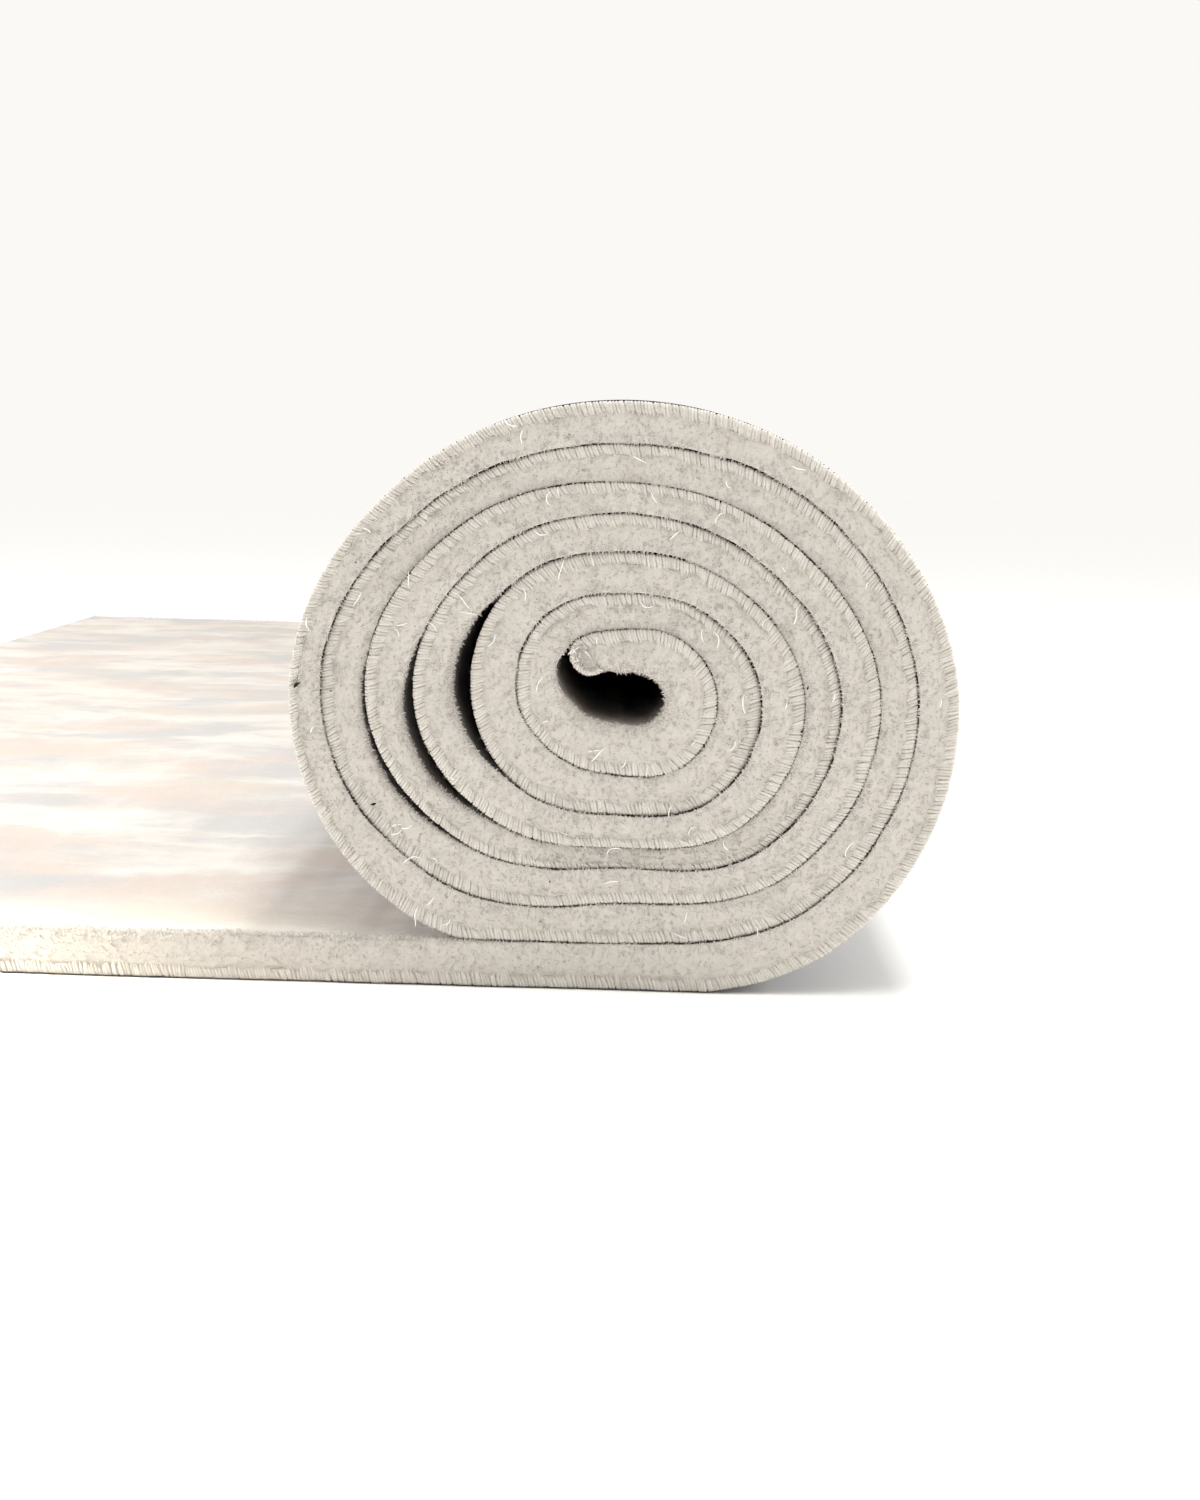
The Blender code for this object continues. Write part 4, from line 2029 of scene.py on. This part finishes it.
@dataclass
class Studio:
    """A plain pale floor and soft light, with the camera low in front of the roll's near end."""

    carpet: Carpet
    eye_distance: float = 1.13
    eye_height: float = 0.177
    eye_right: float = 9.8 * MM
    look_down: float = 4.95
    look_left: float = 0.83
    lean: float = 1.5
    lens: float = 83.2
    sensor: float = 36.0
    sees_to: float = 60.0
    sky: str = "#fbf9f5"
    sky_strength: float = 1.0
    floor_half: float = 15.0
    floor_drop: float = 0.3 * MM
    card_half_width: float = 0.6
    card_height: float = 0.8
    card_behind_eye: float = 0.12
    lights: tuple[SoftLight, ...] = (
        SoftLight("skylight", (0.32, 0.15, 2.0), (0.0, 0.15, 0.0), 0.45, 21.0, "#fffdfa"),
        SoftLight("window_left", (-2.0, 0.6, 0.9), (0.0, 0.0, 0.1), 1.0, 28.0, "#fffcf8"),
        SoftLight("window_right", (2.0, 0.6, 0.9), (0.0, 0.0, 0.1), 1.0, 28.0, "#fffcf8"),
        SoftLight("front_top", (0.2, -0.8, 1.7), (0.0, 0.0, 0.1), 0.7, 7.0, "#fffdfa"),
        SoftLight("low_left", (-0.62, -0.16, 0.16), (-0.2, 0.0, -0.07), 0.06, 0.3, "#fff3de", 24.0),
    )

    @property
    def foot(self) -> Vector:
        """The middle of the near face's foot, on the floor."""
        return Vector((self.carpet.winding.centre_x, -self.carpet.half_width, 0.0))

    def camera(self) -> None:
        """Stand the camera on the roll's axis, a little above the roll's middle."""
        data = bpy.data.cameras.new("camera")
        data.sensor_fit = "VERTICAL"
        data.sensor_height = self.sensor
        data.lens = self.lens
        data.clip_end = self.sees_to
        eye = bpy.data.objects.new("camera", data)
        bpy.context.scene.collection.objects.link(eye)
        place = self.foot + Vector((self.eye_right, -self.eye_distance, self.eye_height))
        eye.matrix_world = (
            Matrix.Translation(place)
            @ Matrix.Rotation(math.radians(self.look_left), 4, "Z")
            @ Matrix.Rotation(math.radians(90.0 - self.look_down), 4, "X")
            @ Matrix.Rotation(math.radians(self.lean), 4, "Z")
        )
        bpy.context.scene.camera = eye

    def board(self, name: str, corners: list[tuple], finish: PlainFinish) -> bpy.types.Object:
        """Make a flat four-cornered piece.

        Args:
            name: The object's name.
            corners: Its corners in order.
            finish: Its finish.

        Returns:
            The object.
        """
        mesh = bpy.data.meshes.new(name)
        mesh.from_pydata(corners, [], [(0, 1, 2, 3)])
        mesh.materials.append(finish.make())
        return linked(name, mesh)

    def floor(self) -> None:
        """Lay a wide pale floor under the carpet."""
        half, z = self.floor_half, -self.floor_drop
        corners = [(-half, -half, z), (half, -half, z), (half, half, z), (-half, half, z)]
        piece = self.board("floor", corners, FLOOR_PAINT)

    def flag(self) -> None:
        """Stand a dark card behind the camera, so that little light goes straight into the hollows."""
        x, y = self.foot.x, self.foot.y - self.eye_distance - self.card_behind_eye
        wide, high = self.card_half_width, self.card_height
        corners = [(x - wide, y, -0.1), (x + wide, y, -0.1), (x + wide, y, high), (x - wide, y, high)]
        card = self.board("dark_card", corners, BLACK_CARD)
        card.visible_camera = False

    def light(self) -> None:
        """Light the room evenly, with one stronger light overhead and weaker ones at both sides."""
        world = bpy.data.worlds.new("studio")
        world.use_nodes = True
        background = world.node_tree.nodes["Background"]
        background.inputs["Color"].default_value = linear(self.sky)
        background.inputs["Strength"].default_value = self.sky_strength
        bpy.context.scene.world = world
        for soft_light in self.lights:
            soft_light.hang(self.foot)

    def build(self) -> None:
        """Set up the camera, the floor, the dark card and the light."""
        self.camera()
        self.floor()
        self.flag()
        self.light()
        bpy.context.scene.view_settings.view_transform = "Standard"


def main() -> None:
    """Build the carpet's pieces in order and dress them."""
    logging.basicConfig(level=logging.INFO, format="%(name)s: %(message)s")
    winding = Winding()
    carpet = Carpet(winding)
    LOG.info("carpet: %.3f m along its back", winding.total)

    wool, tuft = CutPileWool().make(), TUFT_YARN.make()
    yarn, cloth = EDGE_YARN.make(), BackingCloth().make()

    pile = PileField(carpet)
    field_piece = dress(pile.field(wool), Slot.PILE, "pile_field")
    fur = [dress(pile.side_fur(edge, tuft), Slot.PILE) for edge in Edge]
    fur.append(dress(pile.top_fur(tuft), Slot.PILE))
    loose = LooseFibres(carpet)
    extras = [
        dress(WhippedEdge(carpet, Edge.NEAR).fuzz(yarn), Slot.YARN),
        dress(loose.build(LOOSE_HAIR.make()), Slot.YARN),
        dress(loose.build_lint(LINT.make()), Slot.CLOTH),
    ]
    backing = dress(Backing(carpet).build(cloth), Slot.CLOTH, "backing_cloth")
    edges = [
        dress(WhippedEdge(carpet, edge).build(yarn), Slot.YARN, f"edge_yarn_{edge.name.lower()}")
        for edge in Edge
    ]
    ends = [
        dress(WhippedEnd(carpet, "whipped_end_inner", True).build(yarn), Slot.YARN, "end_yarn_inner"),
        dress(WhippedEnd(carpet, "whipped_end_outer", False).build(yarn), Slot.YARN, "end_yarn_outer"),
    ]

    Studio(carpet).build()


if __name__ == "__main__":
    main()
